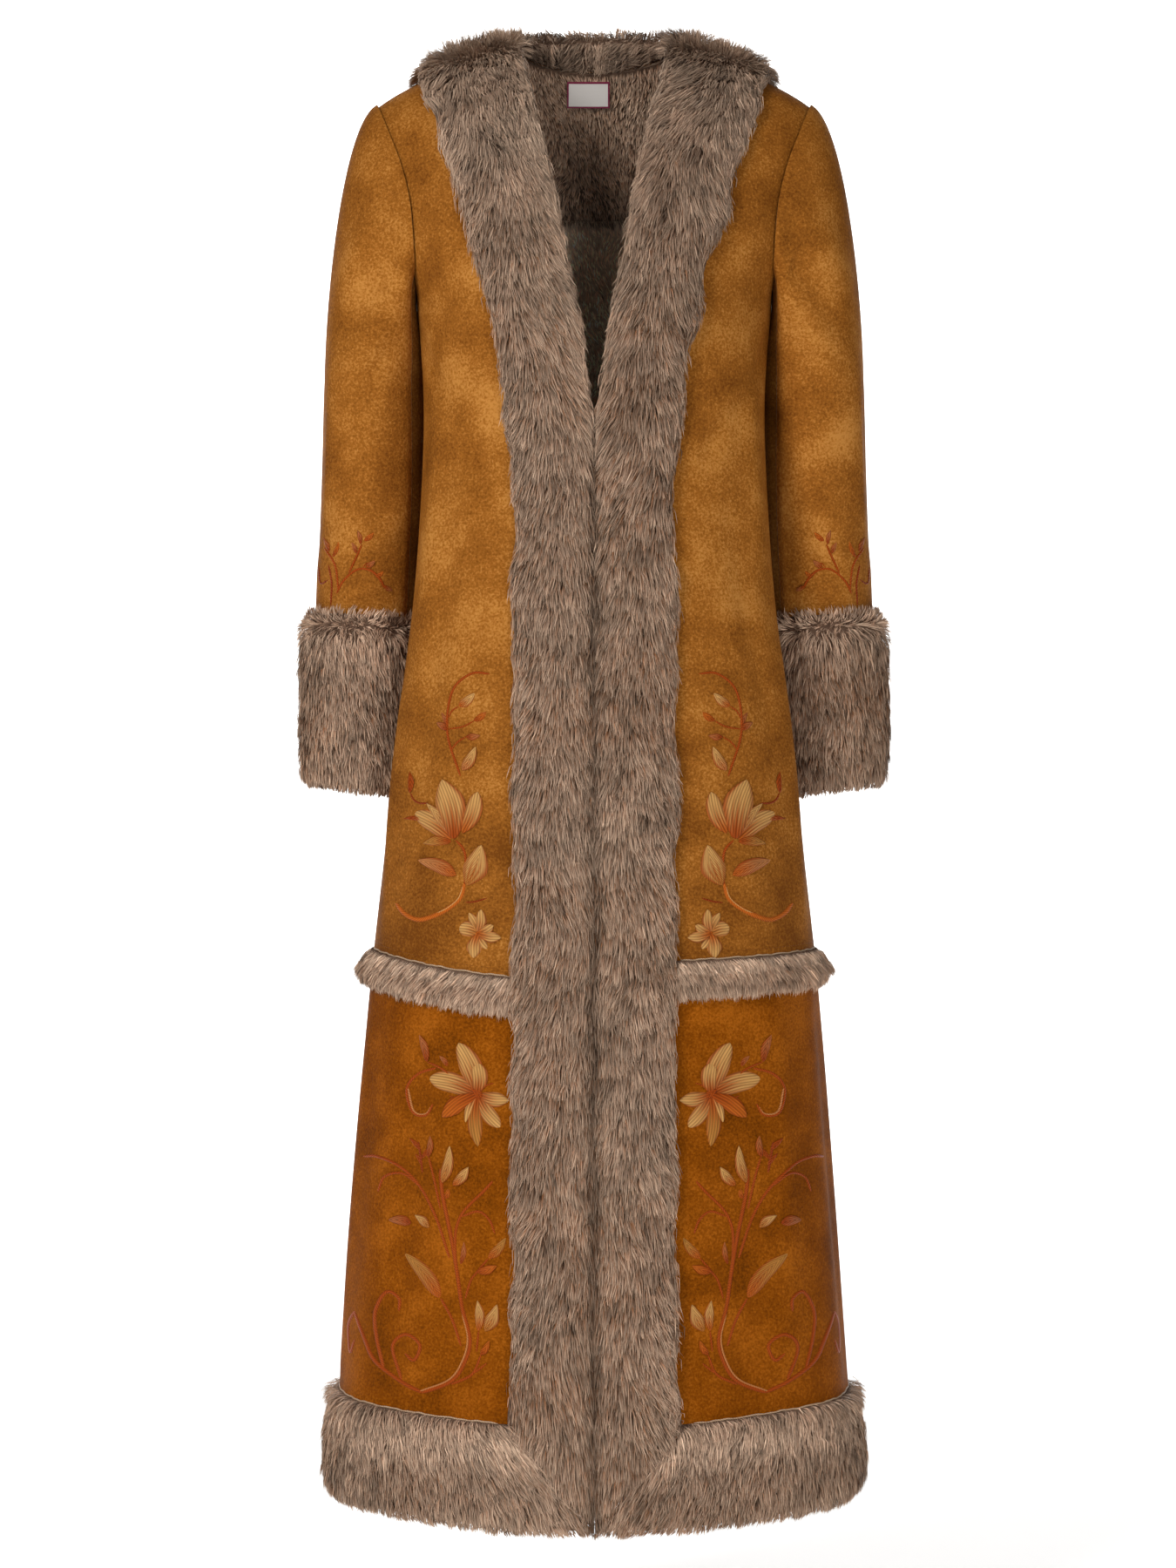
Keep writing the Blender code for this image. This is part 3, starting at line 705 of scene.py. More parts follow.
def finish_material(shader, settings, colour=None, normal=None):
    """Sets the shader's values by name, and links a colour and a bump to it."""
    for name, source in (("Base Color", colour), ("Normal", normal)):
        if source:
            shader.id_data.links.new(source, shader.inputs[name])
    for name, value in settings.items():
        shader.inputs[name].default_value = value


def suede(name, shaded, middle, brushed, painted_knee_shade=0.0):
    """Brushed microfibre suede: a short nap in soft light and dark patches over a fine peppered grain.

    It may darken from the waist down to the knee seam, as painted shade.
    """
    material, tree, shader = new_material(name)
    place = add_node(tree, "ShaderNodeTexCoord", gives="Object")
    patch_mm, grain_mm, fibre_mm = 50, 2.2, 1.2
    layers = []
    for size_mm, detail, roughness in ((patch_mm, 3, 0.5), (grain_mm, 3, 0.65), (fibre_mm, 2, 0.6)):
        settings = {"Scale": 1000 / size_mm, "Detail": detail, "Roughness": roughness}
        layers.append(add_node(tree, "ShaderNodeTexNoise", settings, {"Vector": place}))
    patches, grain, fibre = layers
    mixed = add_node(tree, "ShaderNodeMix", {"Factor": 0.55}, {"A": patches, "B": grain})
    # Painted shade: the colour darkens from the waist down to the knee seam
    level = add_node(tree, "ShaderNodeSeparateXYZ", links={"Vector": place}, gives="Z")
    settings = {"From Min": TIER_Z, "From Max": WAIST_Z, "To Min": -painted_knee_shade, "To Max": 0.0}
    fade = add_node(tree, "ShaderNodeMapRange", settings, {"Value": level})
    nap = add_node(tree, "ShaderNodeMath", {"operation": "ADD"}, {0: mixed, 1: fade})
    stops = ((0.34, shaded), (0.63, brushed), (0.50, middle))
    colour = add_node(tree, "ShaderNodeValToRGB", {"stops": stops}, {"Fac": nap})
    fine = add_node(tree, "ShaderNodeBump", {"Strength": 0.40, "Distance": 0.0007}, {"Height": fibre})
    settings = {"Strength": 0.40, "Distance": 0.0013}
    normal = add_node(tree, "ShaderNodeBump", settings, {"Height": grain, "Normal": fine})
    lustre = {
        "Roughness": 0.6,
        "Specular IOR Level": 0.04,
        "Specular Tint": rgba("#E8A860"),
        "Sheen Weight": 0.03,
        "Sheen Roughness": 0.4,
        "Sheen Tint": rgba("#C87A2C"),
    }
    finish_material(shader, lustre, colour, normal)
    return material


def short_pile(name, dark, light):
    """Sheared plush: very short upright fibres that read as soft dark and pale flecks."""
    material, tree, shader = new_material(name)
    place = add_node(tree, "ShaderNodeTexCoord", gives="Object")
    tuft_mm = 5.0
    settings = {"Scale": 1000 / tuft_mm, "Detail": 5, "Roughness": 0.7}
    tufts = add_node(tree, "ShaderNodeTexNoise", settings, {"Vector": place})
    colour = add_node(tree, "ShaderNodeValToRGB", {"stops": ((0.32, dark), (0.68, light))}, {"Fac": tufts})
    normal = add_node(tree, "ShaderNodeBump", {"Strength": 0.6, "Distance": 0.003}, {"Height": tufts})
    finish_material(shader, {"Roughness": 0.9, "Specular IOR Level": 0.1}, colour, normal)
    return material


def fur_hair():
    """Modacrylic fur fibre: smooth fine hair, dark at the root and pale at the tip, with a dull gloss."""
    material, tree, shader = new_material("modacrylic_fur_hair")
    shade = add_node(tree, "ShaderNodeAttribute", {"attribute_name": "shade"})
    gloss = {"Roughness": 0.5, "Specular IOR Level": 0.22, "Specular Tint": rgba("#F2D8BC")}
    finish_material(shader, gloss, shade)
    return material


def thread():
    """Rayon embroidery thread in satin stitch: close parallel threads that shine across their run."""
    material, tree, shader = new_material("rayon_embroidery_thread")
    shade = add_node(tree, "ShaderNodeAttribute", {"attribute_name": "shade"})
    spread = add_node(tree, "ShaderNodeUVMap", {"uv_map": "thread"})
    # Real threads lie 0.4 mm apart: drawn 2.4 mm apart so that they show.
    thread_mm = 2.4
    settings = {"Scale": WAVE_TURN / thread_mm, "Distortion": 1.2, "Detail": 1.0, "Detail Scale": 2.0}
    ridges = add_node(tree, "ShaderNodeTexWave", settings, {"Vector": spread})
    settings = {"data_type": "RGBA", "blend_type": "MULTIPLY", "Factor": 0.45}
    colour = add_node(tree, "ShaderNodeMix", settings, {"A": shade, "B": ridges})
    normal = add_node(tree, "ShaderNodeBump", {"Strength": 0.5, "Distance": 0.0005}, {"Height": ridges})
    gloss = {"Roughness": 0.4, "Specular IOR Level": 0.12, "Specular Tint": rgba("#FFC890")}
    finish_material(shader, gloss, colour, normal)
    return material


def label_weave():
    """Woven satin label: pale ground with a dark pink border, and fine ribs across."""
    material, tree, shader = new_material("woven_satin_label")
    spread = add_node(tree, "ShaderNodeUVMap", {"uv_map": "cloth"})
    border = 0.0016
    inset = []
    for axis, size in (("X", 2 * LABEL_HALF), ("Y", LABEL_DEPTH)):
        at = add_node(tree, "ShaderNodeSeparateXYZ", links={"Vector": spread}, gives=axis)
        centred = add_node(tree, "ShaderNodeMath", {"operation": "SUBTRACT", 1: size / 2}, {0: at})
        away = add_node(tree, "ShaderNodeMath", {"operation": "ABSOLUTE"}, {0: centred})
        limit = {"operation": "GREATER_THAN", 1: size / 2 - border}
        inset.append(add_node(tree, "ShaderNodeMath", limit, {0: away}))
    edge = add_node(tree, "ShaderNodeMath", {"operation": "MAXIMUM"}, {0: inset[0], 1: inset[1]})
    settings = {"data_type": "RGBA", "A": rgba("#E2DBD4"), "B": rgba("#7C1F3E")}
    colour = add_node(tree, "ShaderNodeMix", settings, {"Factor": edge})
    # Real ribs lie 0.3 mm apart: drawn 1.2 mm apart so that they show.
    rib_mm = 1.2
    settings = {"Scale": WAVE_TURN / rib_mm, "bands_direction": "Y"}
    ribs = add_node(tree, "ShaderNodeTexWave", settings, {"Vector": spread})
    normal = add_node(tree, "ShaderNodeBump", {"Strength": 0.3, "Distance": 0.0003}, {"Height": ribs})
    finish_material(shader, {"Roughness": 0.5}, colour, normal)
    return material


def studio_paper():
    """Matt white background paper, with a little light of its own in place of more lamps on it."""
    material, _, shader = new_material("white_studio_paper")
    glow = {"Emission Color": rgba("#FFFFFF"), "Emission Strength": 0.6}
    finish_material(shader, {"Base Color": rgba("#F4F3F1"), "Roughness": 0.95, **glow})
    return material


# The upper suede carries a painted shade down to the knee seam
upper_suede = suede("brushed_suede_tan", "#643810", "#8A541D", "#AC7436", 0.07)
lower_suede = suede("brushed_suede_rust", "#552A04", "#783E07", "#955312")
# A darker copy of the suede for the under sleeves: painted shade where they lie in the body's shadow
painted_shade_suede = suede("brushed_suede_painted_shade", "#46270B", "#603A14", "#785126")
plush = short_pile("sheared_plush_lining", "#4A3A2E", "#7A6857")
fur_base = short_pile("fur_underdown", "#46352A", "#6E5646")
# A much paler underdown for the lining inside the back: painted light deep inside the coat
painted_light_lining_base = short_pile("fur_lining_underdown_painted_light", "#C0A88F", "#E4CBB0")
hair_fibre = fur_hair()
stitching = thread()
label_cloth = label_weave()


# Suede panels


def spaced(share):
    """Shares with more cells near a panel's edges, for the rolled seams."""
    return mix(share, closer_at_ends(share), 0.7)


def edge_roll(u, v, size, edges):
    """How far the sewn edges named in `edges` turn in: start and end across, bottom and top along."""
    away = {"start": u * size[0], "end": (1 - u) * size[0], "bottom": v * size[1], "top": (1 - v) * size[1]}
    return -ROLL_DEPTH * sum(hump(away[edge], 0, ROLL_REACH) for edge in edges)


def tucked_edge(height):
    """Angle at which an upper panel's cloth ends, with the seam allowance that lies under the sleeve."""
    return side_edge(height) + ARMHOLE_TUCK * rise(height, 0, ARMHOLE_TUCK_REACH)


def two_faces(angle, height, roll, shift=0.0):
    """Outer and inner points of a panel's cloth."""
    return cloth(angle, height, roll) + shift, cloth(angle, height, roll - WALL) + shift


def add_panel(node, cells, place, cloths, size):
    """A suede panel that stands for its solid."""
    piece = add_shell(f"{node}_suede", *cells, place, cloths, size)
    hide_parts(node)


def front_upper(side):
    size = (0.24, 0.87)

    def place(u, v):
        height = upper_height(v, TIER_Z - UNDERARM_Z, UPPER_SPLIT)
        sewn = edge_roll(spaced(u), v, size, ("end",)) * (1 - rise(height, 0, ARMHOLE_TUCK_REACH))
        roll = sewn + edge_roll(u, v, size, ("top",))
        edge = front_angle(band_x(0, height) + BAND_OVERHANG, height)
        angle = side * mix(edge, tucked_edge(height), spaced(u))
        height = upper_height(v, tier_height(angle) + SEAM / 2, UPPER_SPLIT)
        front = at_shoulder_seam(v, -SEAM / 2)
        return two_faces(angle, height, roll, front)

    word = SIDE_NAMES[side]
    cloths = (upper_suede, plush)
    add_panel(f"front_upper_{word}", (34, 120), place, cloths, size)


def back_upper_at(u, v, split, edge):
    """Angle and height on the upper back, out to the edge that `edge` gives for a height."""
    height = upper_height(v, TIER_Z - UNDERARM_Z + SEAM / 2, split)
    angle = np.pi + edge(height) * (2 * u - 1)
    x = body(angle, height)[..., 0]
    return angle, np.where(height > 0, height * nape_share(x), height)


def back_upper():
    size = (0.44, 0.86)

    def place(u, v):
        angle, height = back_upper_at(spaced(u), v, UPPER_SPLIT, tucked_edge)
        sewn = edge_roll(spaced(u), v, size, ("start", "end")) * (1 - rise(height, 0, ARMHOLE_TUCK_REACH))
        roll = sewn + edge_roll(u, v, size, ("top",))
        back = at_shoulder_seam(v, SEAM / 2)
        return two_faces(angle, height, roll, back)

    add_panel("back_upper", (60, 110), place, (upper_suede, plush), size)


def lower_height(v, angle):
    return mix(hem_height(angle, 1) + SEAM / 2, tier_height(angle) - SEAM / 2, v)


def front_lower(side):
    size = (0.27, 0.41)

    def place(u, v):
        roll = edge_roll(spaced(u), v, size, ("end",))
        height = mix(HEM_SEAM_Z, TIER_Z, v) - UNDERARM_Z
        edge = front_angle(band_x(0, height) + BAND_OVERHANG, height)
        angle = side * mix(edge, np.pi / 2 - SEAM_ANGLE, spaced(u))
        height = lower_height(v, angle)
        return two_faces(angle, height, roll)

    word = SIDE_NAMES[side]
    cloths = (lower_suede, plush)
    add_panel(f"front_lower_{word}", (40, 56), place, cloths, size)


def back_lower():
    size = (0.60, 0.41)

    def place(u, v):
        roll = edge_roll(spaced(u), v, size, ("start", "end"))
        angle = back_angle(spaced(u))
        height = lower_height(v, angle)
        return two_faces(angle, height, roll)

    add_panel("back_lower", (80, 50), place, (lower_suede, plush), size)


def sleeve_panel(kind, side, across, first, last, size, face):
    def place(u, v):
        turn = mix(first + SLEEVE_SEAM_ANGLE, last - SLEEVE_SEAM_ANGLE, spaced(u))
        t = 2 - 2 * v
        roll = edge_roll(spaced(u), v, size, ("start", "end"))
        return sleeve_cloth(side, turn, t, roll), sleeve_cloth(side, turn, t, roll - WALL)

    node = f"{kind}_{SIDE_NAMES[side]}"
    add_panel(node, (across, 100), place, (face, plush), size)


def sleeves(side):
    front, back = SLEEVE_FRONT_SEAM, SLEEVE_BACK_SEAM
    sleeve_panel("sleeve_top", side, 46, back, front, (0.24, 0.62), upper_suede)
    # The under sleeve takes the darker suede, a painted shade
    sleeve_panel("sleeve_under", side, 16, front, back + 2 * np.pi, (0.085, 0.58), painted_shade_suede)


# Fur: each surface gives the points on the cloth and the points that the pile reaches to


def band_surface(side):
    knee = 0.33

    def surface(u, v):
        skirt = mix(hem_height(mitre_angle(u), u), TIER_Z - UNDERARM_Z, v / knee)
        bodice = upper_height(np.clip((v - knee) / (1 - knee), 0, 1), TIER_Z - UNDERARM_Z, UPPER_SPLIT)
        height = np.where(v < knee, skirt, bodice)
        shown = mix(1, mix(BAND_SHOWN, BAND_SHOWN_NECK, rise(v, 0.66, 0.06)), rise(v, 0, 0.06))
        angle = side * front_angle(band_x(u * shown, height), height)
        front = at_shoulder_seam(v, -SEAM / 2)
        crown = LIFT + pile(u, column(BAND_ROWS, "pile", nominal_z(height)))
        return off_body(angle, height, LIFT) + front, off_body(angle, height, crown) + front

    return surface


def strip_surface(side):
    level = TIER_Z - UNDERARM_Z - STRIP_DEPTH
    edge = front_angle(band_x(BAND_SHOWN, level) + 2 * SEAM, level)

    def surface(u, v):
        angle = side * mix(edge, np.pi / 2 - SEAM_ANGLE, u) if side else back_angle(u)
        height = tier_height(angle) - SEAM - STRIP_DEPTH * (1 - v)
        crown = EDGE_PILE + pile(np.minimum(v, 0.5), STRIP_PILE - EDGE_PILE) * np.clip((1 - v) / 0.6, 0, 1)
        return off_body(angle, height, LIFT), off_body(angle, height, LIFT + crown)

    return surface


def hem_surface(side):
    def surface(u, v):
        angle = side * mix(mitre_angle(v) + MITRE_GAP, np.pi / 2 - SEAM_ANGLE, u) if side else back_angle(u)
        height = hem_height(angle, v) - SEAM / 2
        return off_body(angle, height, -WALL), off_body(angle, height, pile(v, HEM_PILE))

    return surface


def cuff_surface(side):
    def surface(u, v):
        turn = 2 * np.pi * u
        tilt = np.cos(turn)
        z = mix(CUFF_END_Z + CUFF_END_TILT * tilt, CUFF_TOP_Z + CUFF_TOP_TILT * tilt, v)
        middle = arm_ring(turn, z)
        round_it = arm_ring(turn + STEP, z) - arm_ring(turn - STEP, z)
        out = unit(np.cross([0, 0, 1], round_it))
        pressed = 1 - CUFF_PRESSED * ((1 - tilt) / 2) ** CUFF_PRESSED_POWER
        clear = WALL / 2 + CUFF_CLEAR
        outer = middle + out * (clear + pile(v, CUFF_PILE) * pressed)[..., None]
        return mirrored(middle + out * clear, side), mirrored(outer, side)

    return surface


def collar_surface(u, v):
    """v runs from the fall's edge on the back over the roll and down the inside to the neck seam."""
    inside = 0.76
    depth = np.clip(1 - v / inside, 0, 1)
    turn = (2 * u - 1) * np.pi / 2
    neck_x = NECK_HALF * np.sin(turn)
    edge_x = COLLAR_HALF * np.sin(turn)
    edge_z = mix(COLLAR_FALL_Z, ridge_z(edge_x), np.abs(np.sin(turn)) ** COLLAR_CORNER_POWER)
    edge_share = np.clip((edge_z - UNDERARM_Z) / (ridge_z(edge_x) - UNDERARM_Z), 0, 1)
    x = mix(neck_x, edge_x, depth)
    share = mix(nape_share(neck_x), edge_share, depth)
    angle = np.pi - np.sign(x) * front_angle(x, share)
    back = at_shoulder_seam(np.abs(2 * u - 1), SEAM / 2)
    base = off_body(angle, share, COLLAR_LIFT) + back
    top = off_body(angle, share, COLLAR_LIFT + pile(depth, COLLAR_PILE)) + back
    roll = 1 - rise(depth, COLLAR_ROLL_START, COLLAR_ROLL_SPAN)
    top[..., 2] += COLLAR_STAND * np.cos(turn) ** COLLAR_STAND_POWER * roll
    down = np.clip((v - inside) / (1 - inside), 0, 1)[..., None]
    return base, mix(top, base, down)


def lining_surface(first, last):
    def surface(u, v):
        across = 0.5 + (u - 0.5) * LINING_SHARE
        angle, height = back_upper_at(across, mix(first, last, v), LINING_SPLIT, side_edge)
        near = WALL + SEAM
        return cloth(angle, height, -near), cloth(angle, height, -near - LINING_PILE)

    return surface


# How a fur lies: strands, their length, how far they stand up, how they spread to the edges, lean aside and
# swirl, the size of a tuft, where the roots are in the pile, how far the strands follow its rounding, the
# function for its looks over the piece, and one that keeps the strands inside ragged edges
COAT_FIELDS = "strands length lift splay lean swirl tuft root rounding style keep"
Coat = namedtuple("Coat", COAT_FIELDS, defaults=(None,))
# How it looks over a piece: more lift, its tone, the way of the comb and how it swings aside, a share of the
# length, and how pale the roots are
Look = namedtuple("Look", "lift tone way swing length pale", defaults=(0.0, 1.0, 1.0, 0.0, 1.0, 0.0))
HAIR_WIDTH = 0.0010
ROOT_SUNK = 0.10
ROOT_COLOUR = linear("#402B1F")
MIDDLE_COLOUR = linear("#846A57")
TIP_COLOUR = linear("#BCA18A")
WARM_COLOUR = linear("#764C30")

# How far whole tufts and single strands stray from the comb
TUFT_WARP = 0.004
TUFT_SWING = 0.12
TUFT_LIFT = 0.16
TUFT_LENGTH = 0.13
TUFT_TONE = 0.12
STRAND_SWING = 0.17
STRAND_LIFT = 0.08
STRAND_LENGTH = 0.15
STRAND_ROLL = 0.45
STRAND_TONE = 0.25
LIFT_LIMITS = (0.06, 1.8)
LENGTH_LIMITS = (0.4, 1.45)

# How much steeper a strand starts than it ends, and how far the tips of a tuft are drawn together
START_LIFT = 1.85
DRAWN = 0.20
DRAWN_SPREAD = 0.12
MOST_DRAWN = 0.5


def scatter(surface, count, rng):
    """Even random places on a surface, as shares u and v."""
    cells_u, cells_v = 24, 160
    u, v = np.meshgrid(np.linspace(0, 1, cells_u + 1), np.linspace(0, 1, cells_v + 1), indexing="ij")
    points = surface(u.ravel(), v.ravel())[1].reshape(cells_u + 1, cells_v + 1, 3)
    one = points[1:, 1:] - points[:-1, :-1]
    other = points[1:, :-1] - points[:-1, 1:]
    area = np.linalg.norm(np.cross(one, other), axis=-1).ravel()
    reach = np.cumsum(area) / area.sum()
    cell = np.searchsorted(reach, (np.arange(count) + rng.random(count)) / count * LAST_ROW)
    return (cell // cells_v + rng.random(count)) / cells_u, (cell % cells_v + rng.random(count)) / cells_v


def surface_ways(surface, u, v, rounding):
    """Base and top points, and the directions out, across and towards the root end of the pile."""
    step = 2e-3
    base, top = surface(u, v)
    left, right = surface(np.clip(u - step, 0, 1), v), surface(np.clip(u + step, 0, 1), v)
    low, high = surface(u, np.clip(v - step, 0, 1)), surface(u, np.clip(v + step, 0, 1))
    across = unit(mix(right[0] - left[0], right[1] - left[1], rounding))
    along = unit(mix(high[0] - low[0], high[1] - low[1], rounding))
    out = unit(np.cross(across, along))
    out = out * np.sign(np.sum(out * (top - base)))
    return base, top, out, across, along


def add_hair(name, surface, coat, seed):
    """Strands of fur on a surface, combed down it and drawn together into tufts."""
    rng = np.random.default_rng(seed)
    u, v = scatter(surface, coat.strands, rng)
    base, top, out, across, along = surface_ways(surface, u, v, coat.rounding)
    count = len(u)
    look = Look(*(np.broadcast_to(value, count)[:, None] for value in coat.style(u, v)))
    warp = np.stack([ripple(base, 0.02, seed + k) for k in range(3)], -1)
    tuft = np.floor((base + TUFT_WARP * warp) / coat.tuft).astype(int)
    tuft = np.unique(tuft, axis=0, return_inverse=True)[1].ravel()
    per_tuft = rng.normal(size=(tuft.max() + 1, 3))[tuft]

    # The comb, with its swirls and strays
    swirl = ripple(base, 0.10, 5) + 0.5 * ripple(base, 0.03, 6)
    swing = coat.lean + coat.splay * (2 * u - 1) + coat.swirl * swirl + TUFT_SWING * per_tuft[:, 0]
    aside = swing[:, None] + look.swing + rng.normal(0, STRAND_SWING, count)[:, None]
    comb = across * aside - along * look.way
    lift = coat.lift * (1 + 0.22 * ripple(base, 0.05, 9) + TUFT_LIFT * per_tuft[:, 1])
    lift = np.clip((lift + rng.normal(0, STRAND_LIFT, count))[:, None] + look.lift, *LIFT_LIMITS)
    length = np.clip(1 + TUFT_LENGTH * per_tuft[:, 2] + rng.normal(0, STRAND_LENGTH, count), *LENGTH_LIMITS)
    length = coat.length * length[:, None] * look.length

    # Each strand is a slim kite from its root over a bent middle to its tip
    root = mix(base, top, coat.root)
    middle = root + 0.5 * length * unit(out * START_LIFT * lift + comb)
    tip = root + length * unit(out * lift + comb)
    sums = np.stack([np.bincount(tuft, tip[:, k]) for k in range(3)], -1) / np.bincount(tuft)[:, None]
    tip = mix(tip, sums[tuft], np.clip(DRAWN + DRAWN_SPREAD * per_tuft[:, 2:3], 0, MOST_DRAWN))
    if coat.keep:
        stray = rng.normal(0, 1, count)
        middle, tip = coat.keep(middle, stray), coat.keep(tip, stray)
    roll = rng.normal(0, STRAND_ROLL, count)[:, None]
    wide = unit(np.cross(tip - root, out))
    wide = unit(wide * np.cos(roll) + out * np.sin(roll))
    half = HAIR_WIDTH / 2 * rng.uniform(0.7, 1.3, count)[:, None]
    points = np.stack([root, middle + wide * half, tip, middle - wide * half], 1)
    first = np.arange(count)[:, None] * 4
    faces = np.concatenate([first + [0, 1, 3], first + [1, 2, 3]])

    # Colour from root to tip, in streaks and with some warmer strands
    streaks = 1 + 0.12 * ripple(base, 0.06, 21) + 0.08 * ripple(base, 0.02, 22) + TUFT_TONE * per_tuft[:, 0]
    bright = (streaks + rng.normal(0, STRAND_TONE, count))[:, None] * look.tone
    warm = np.clip(rng.normal(0.25, 0.30, count) + 0.2 * ripple(base, 0.08, 33), 0, 1)[:, None]
    tip_colour = mix(TIP_COLOUR, WARM_COLOUR, 0.5 * warm)
    middle_colour = mix(mix(MIDDLE_COLOUR, WARM_COLOUR, warm), tip_colour, look.pale)
    root_colour = mix(ROOT_COLOUR, tip_colour, look.pale)
    shades = np.stack([root_colour, middle_colour, tip_colour, middle_colour], 1)
    shades = np.clip(shades * bright[:, None], 0, 1)
    return add_joined(name, points.reshape(-1, 3), faces, hair_fibre, shades.reshape(-1, 3))


def add_fur(node, surface, cells, size, coat, seed, ring=False, down=fur_base):
    """A fur piece: its backing with the underdown, and the hair on it."""

    def place(u, v):
        base, top = surface(u, v)
        return mix(base, top, coat.root + ROOT_SUNK), base

    skin = add_shell(f"{node}_underdown", *cells, place, (down,), size, ring)
    hair = add_hair(f"{node}_hair", surface, coat, seed)
    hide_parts(node)


def band_style(u, v):
    """Fans out over the suede, more at the shoulder, and is combed up at the shoulder seam.

    Darker along the closing edge below the neck, a painted shade of the valley between the bands, and flat
    there;
    paler along the neck edge and at the shoulder, and short at the hem.
    """
    neck = rise(v, 0.68, 0.03)
    high = rise(v, 0.965, 0.035)
    below = 1 - neck
    # Painted shade: strands darken along the closing edge, where the bands meet in a valley
    parting = (0.50 + 0.2 * rise(v, 0.45, 0.2)) * below * (1 - rise(u, 0, 0.15))
    return Look(
        lift=0.45 * high - 0.24 * (1 - rise(u, 0, 0.25)) * below,
        tone=1 - parting - 0.08 * neck,
        way=1 - 1.1 * high,
        swing=0.35 * rise(u, 0.5, 0.5) * rise(v, 0.60, 0.2) + 0.34 * (1 - rise(u, 0, 0.35)) * below,
        length=mix(0.5, 1, rise(v, 0, 0.02)),
        pale=0.35 * neck * (1 - rise(u, 0, 0.3)) + 0.8 * rise(v, 0.86, 0.08),
    )


def strip_style(u, v):
    """Flat under the cut edge of the suede, and pale."""
    high = rise(v, 0.5, 0.3)
    return Look(lift=-0.20 * high, tone=1.10, pale=0.3 + 0.6 * high)


def hem_style(u, v):
    """Flat and pale under the suede, darker and shorter towards the hem."""
    pale = rise(v, 0.45, 0.4)
    return Look(
        lift=-0.18 * rise(v, 0.6, 0.3),
        tone=mix(0.97, 1.17, pale),
        length=mix(0.55, 1, rise(v, 0, 0.25)),
        pale=0.15 + 0.6 * pale,
    )


def cuff_style(u, v):
    """Bursts up along the top edge, out at the parting and down below it, short at the wrist."""
    return Look(
        lift=0.24 * rise(v, 0.78, 0.14),
        tone=1.07 + 0.05 * rise(v, 0.65, 0.2),
        way=1 - 1.6 * rise(v, 0.84, 0.16),
        length=mix(0.45, 1, rise(v, 0, 0.14)) * mix(1, 0.5, rise(v, 0.85, 0.15)),
        pale=np.clip(0.75 * hump(v, 0.93, 0.07) + 0.3 * rise(v, 0.6, 0.25), 0, 1),
    )


def collar_style(u, v):
    """Down on the back, up on the roll and over the neck seam inside, darker inside as painted shade. Pale at
    the shoulders.
    """
    end = rise(np.abs(2 * u - 1), 0.6, 0.3)
    inside = rise(v, 0.70, 0.2)
    return Look(
        way=1 - 1.7 * rise(v, 0.40, 0.5),
        # Painted shade: the strands darken down the inside of the roll, away from the shoulders
        tone=mix(1.0, 0.66, inside * (1 - end)),
        length=mix(1, 0.7, inside),
        pale=0.55 + 0.3 * end,
    )


def yoke_style(u, v):
    """Inside the neck, dark along the seams above and below."""
    return Look(tone=1.34 - 0.7 * hump(v, 0, 0.03) - 0.3 * hump(v, 1, 0.05), pale=0.25)


def lining_style(u, v):
    """Inside the back, much paler as painted light where little light reaches, and dark along the seam above.
    """
    # Painted light: high tone and pale roots lift the hair where little light reaches
    return Look(tone=2.5 - 1.9 * hump(v, 1, 0.02), pale=0.85)


def within_band(side):
    """Lets few strands hang over the neck edge and the suede, in ragged tufts."""

    def keep(points, stray):
        z = np.minimum(points[:, 2], 0)
        neck = rise(z, -0.39, 0.04)
        ragged = ripple(points, 0.035, 71)
        inner = column(BAND_ROWS, "inner_x", z)
        closed = 0.0012 + 0.0008 * stray
        opened = 0.0015 + 0.0020 * ragged + 0.0028 * np.abs(stray)
        least = inner - mix(closed, opened, neck)
        most = inner + column(BAND_ROWS, "width", z) - 0.007 + 0.008 * neck
        most += mix(0.0042, 0.0060, neck) * ragged + 0.0028 * stray
        x = np.where(points[:, 2] < 0, np.clip(side * points[:, 0], least, most), side * points[:, 0])
        return np.column_stack([side * x, points[:, 1:]])

    return keep


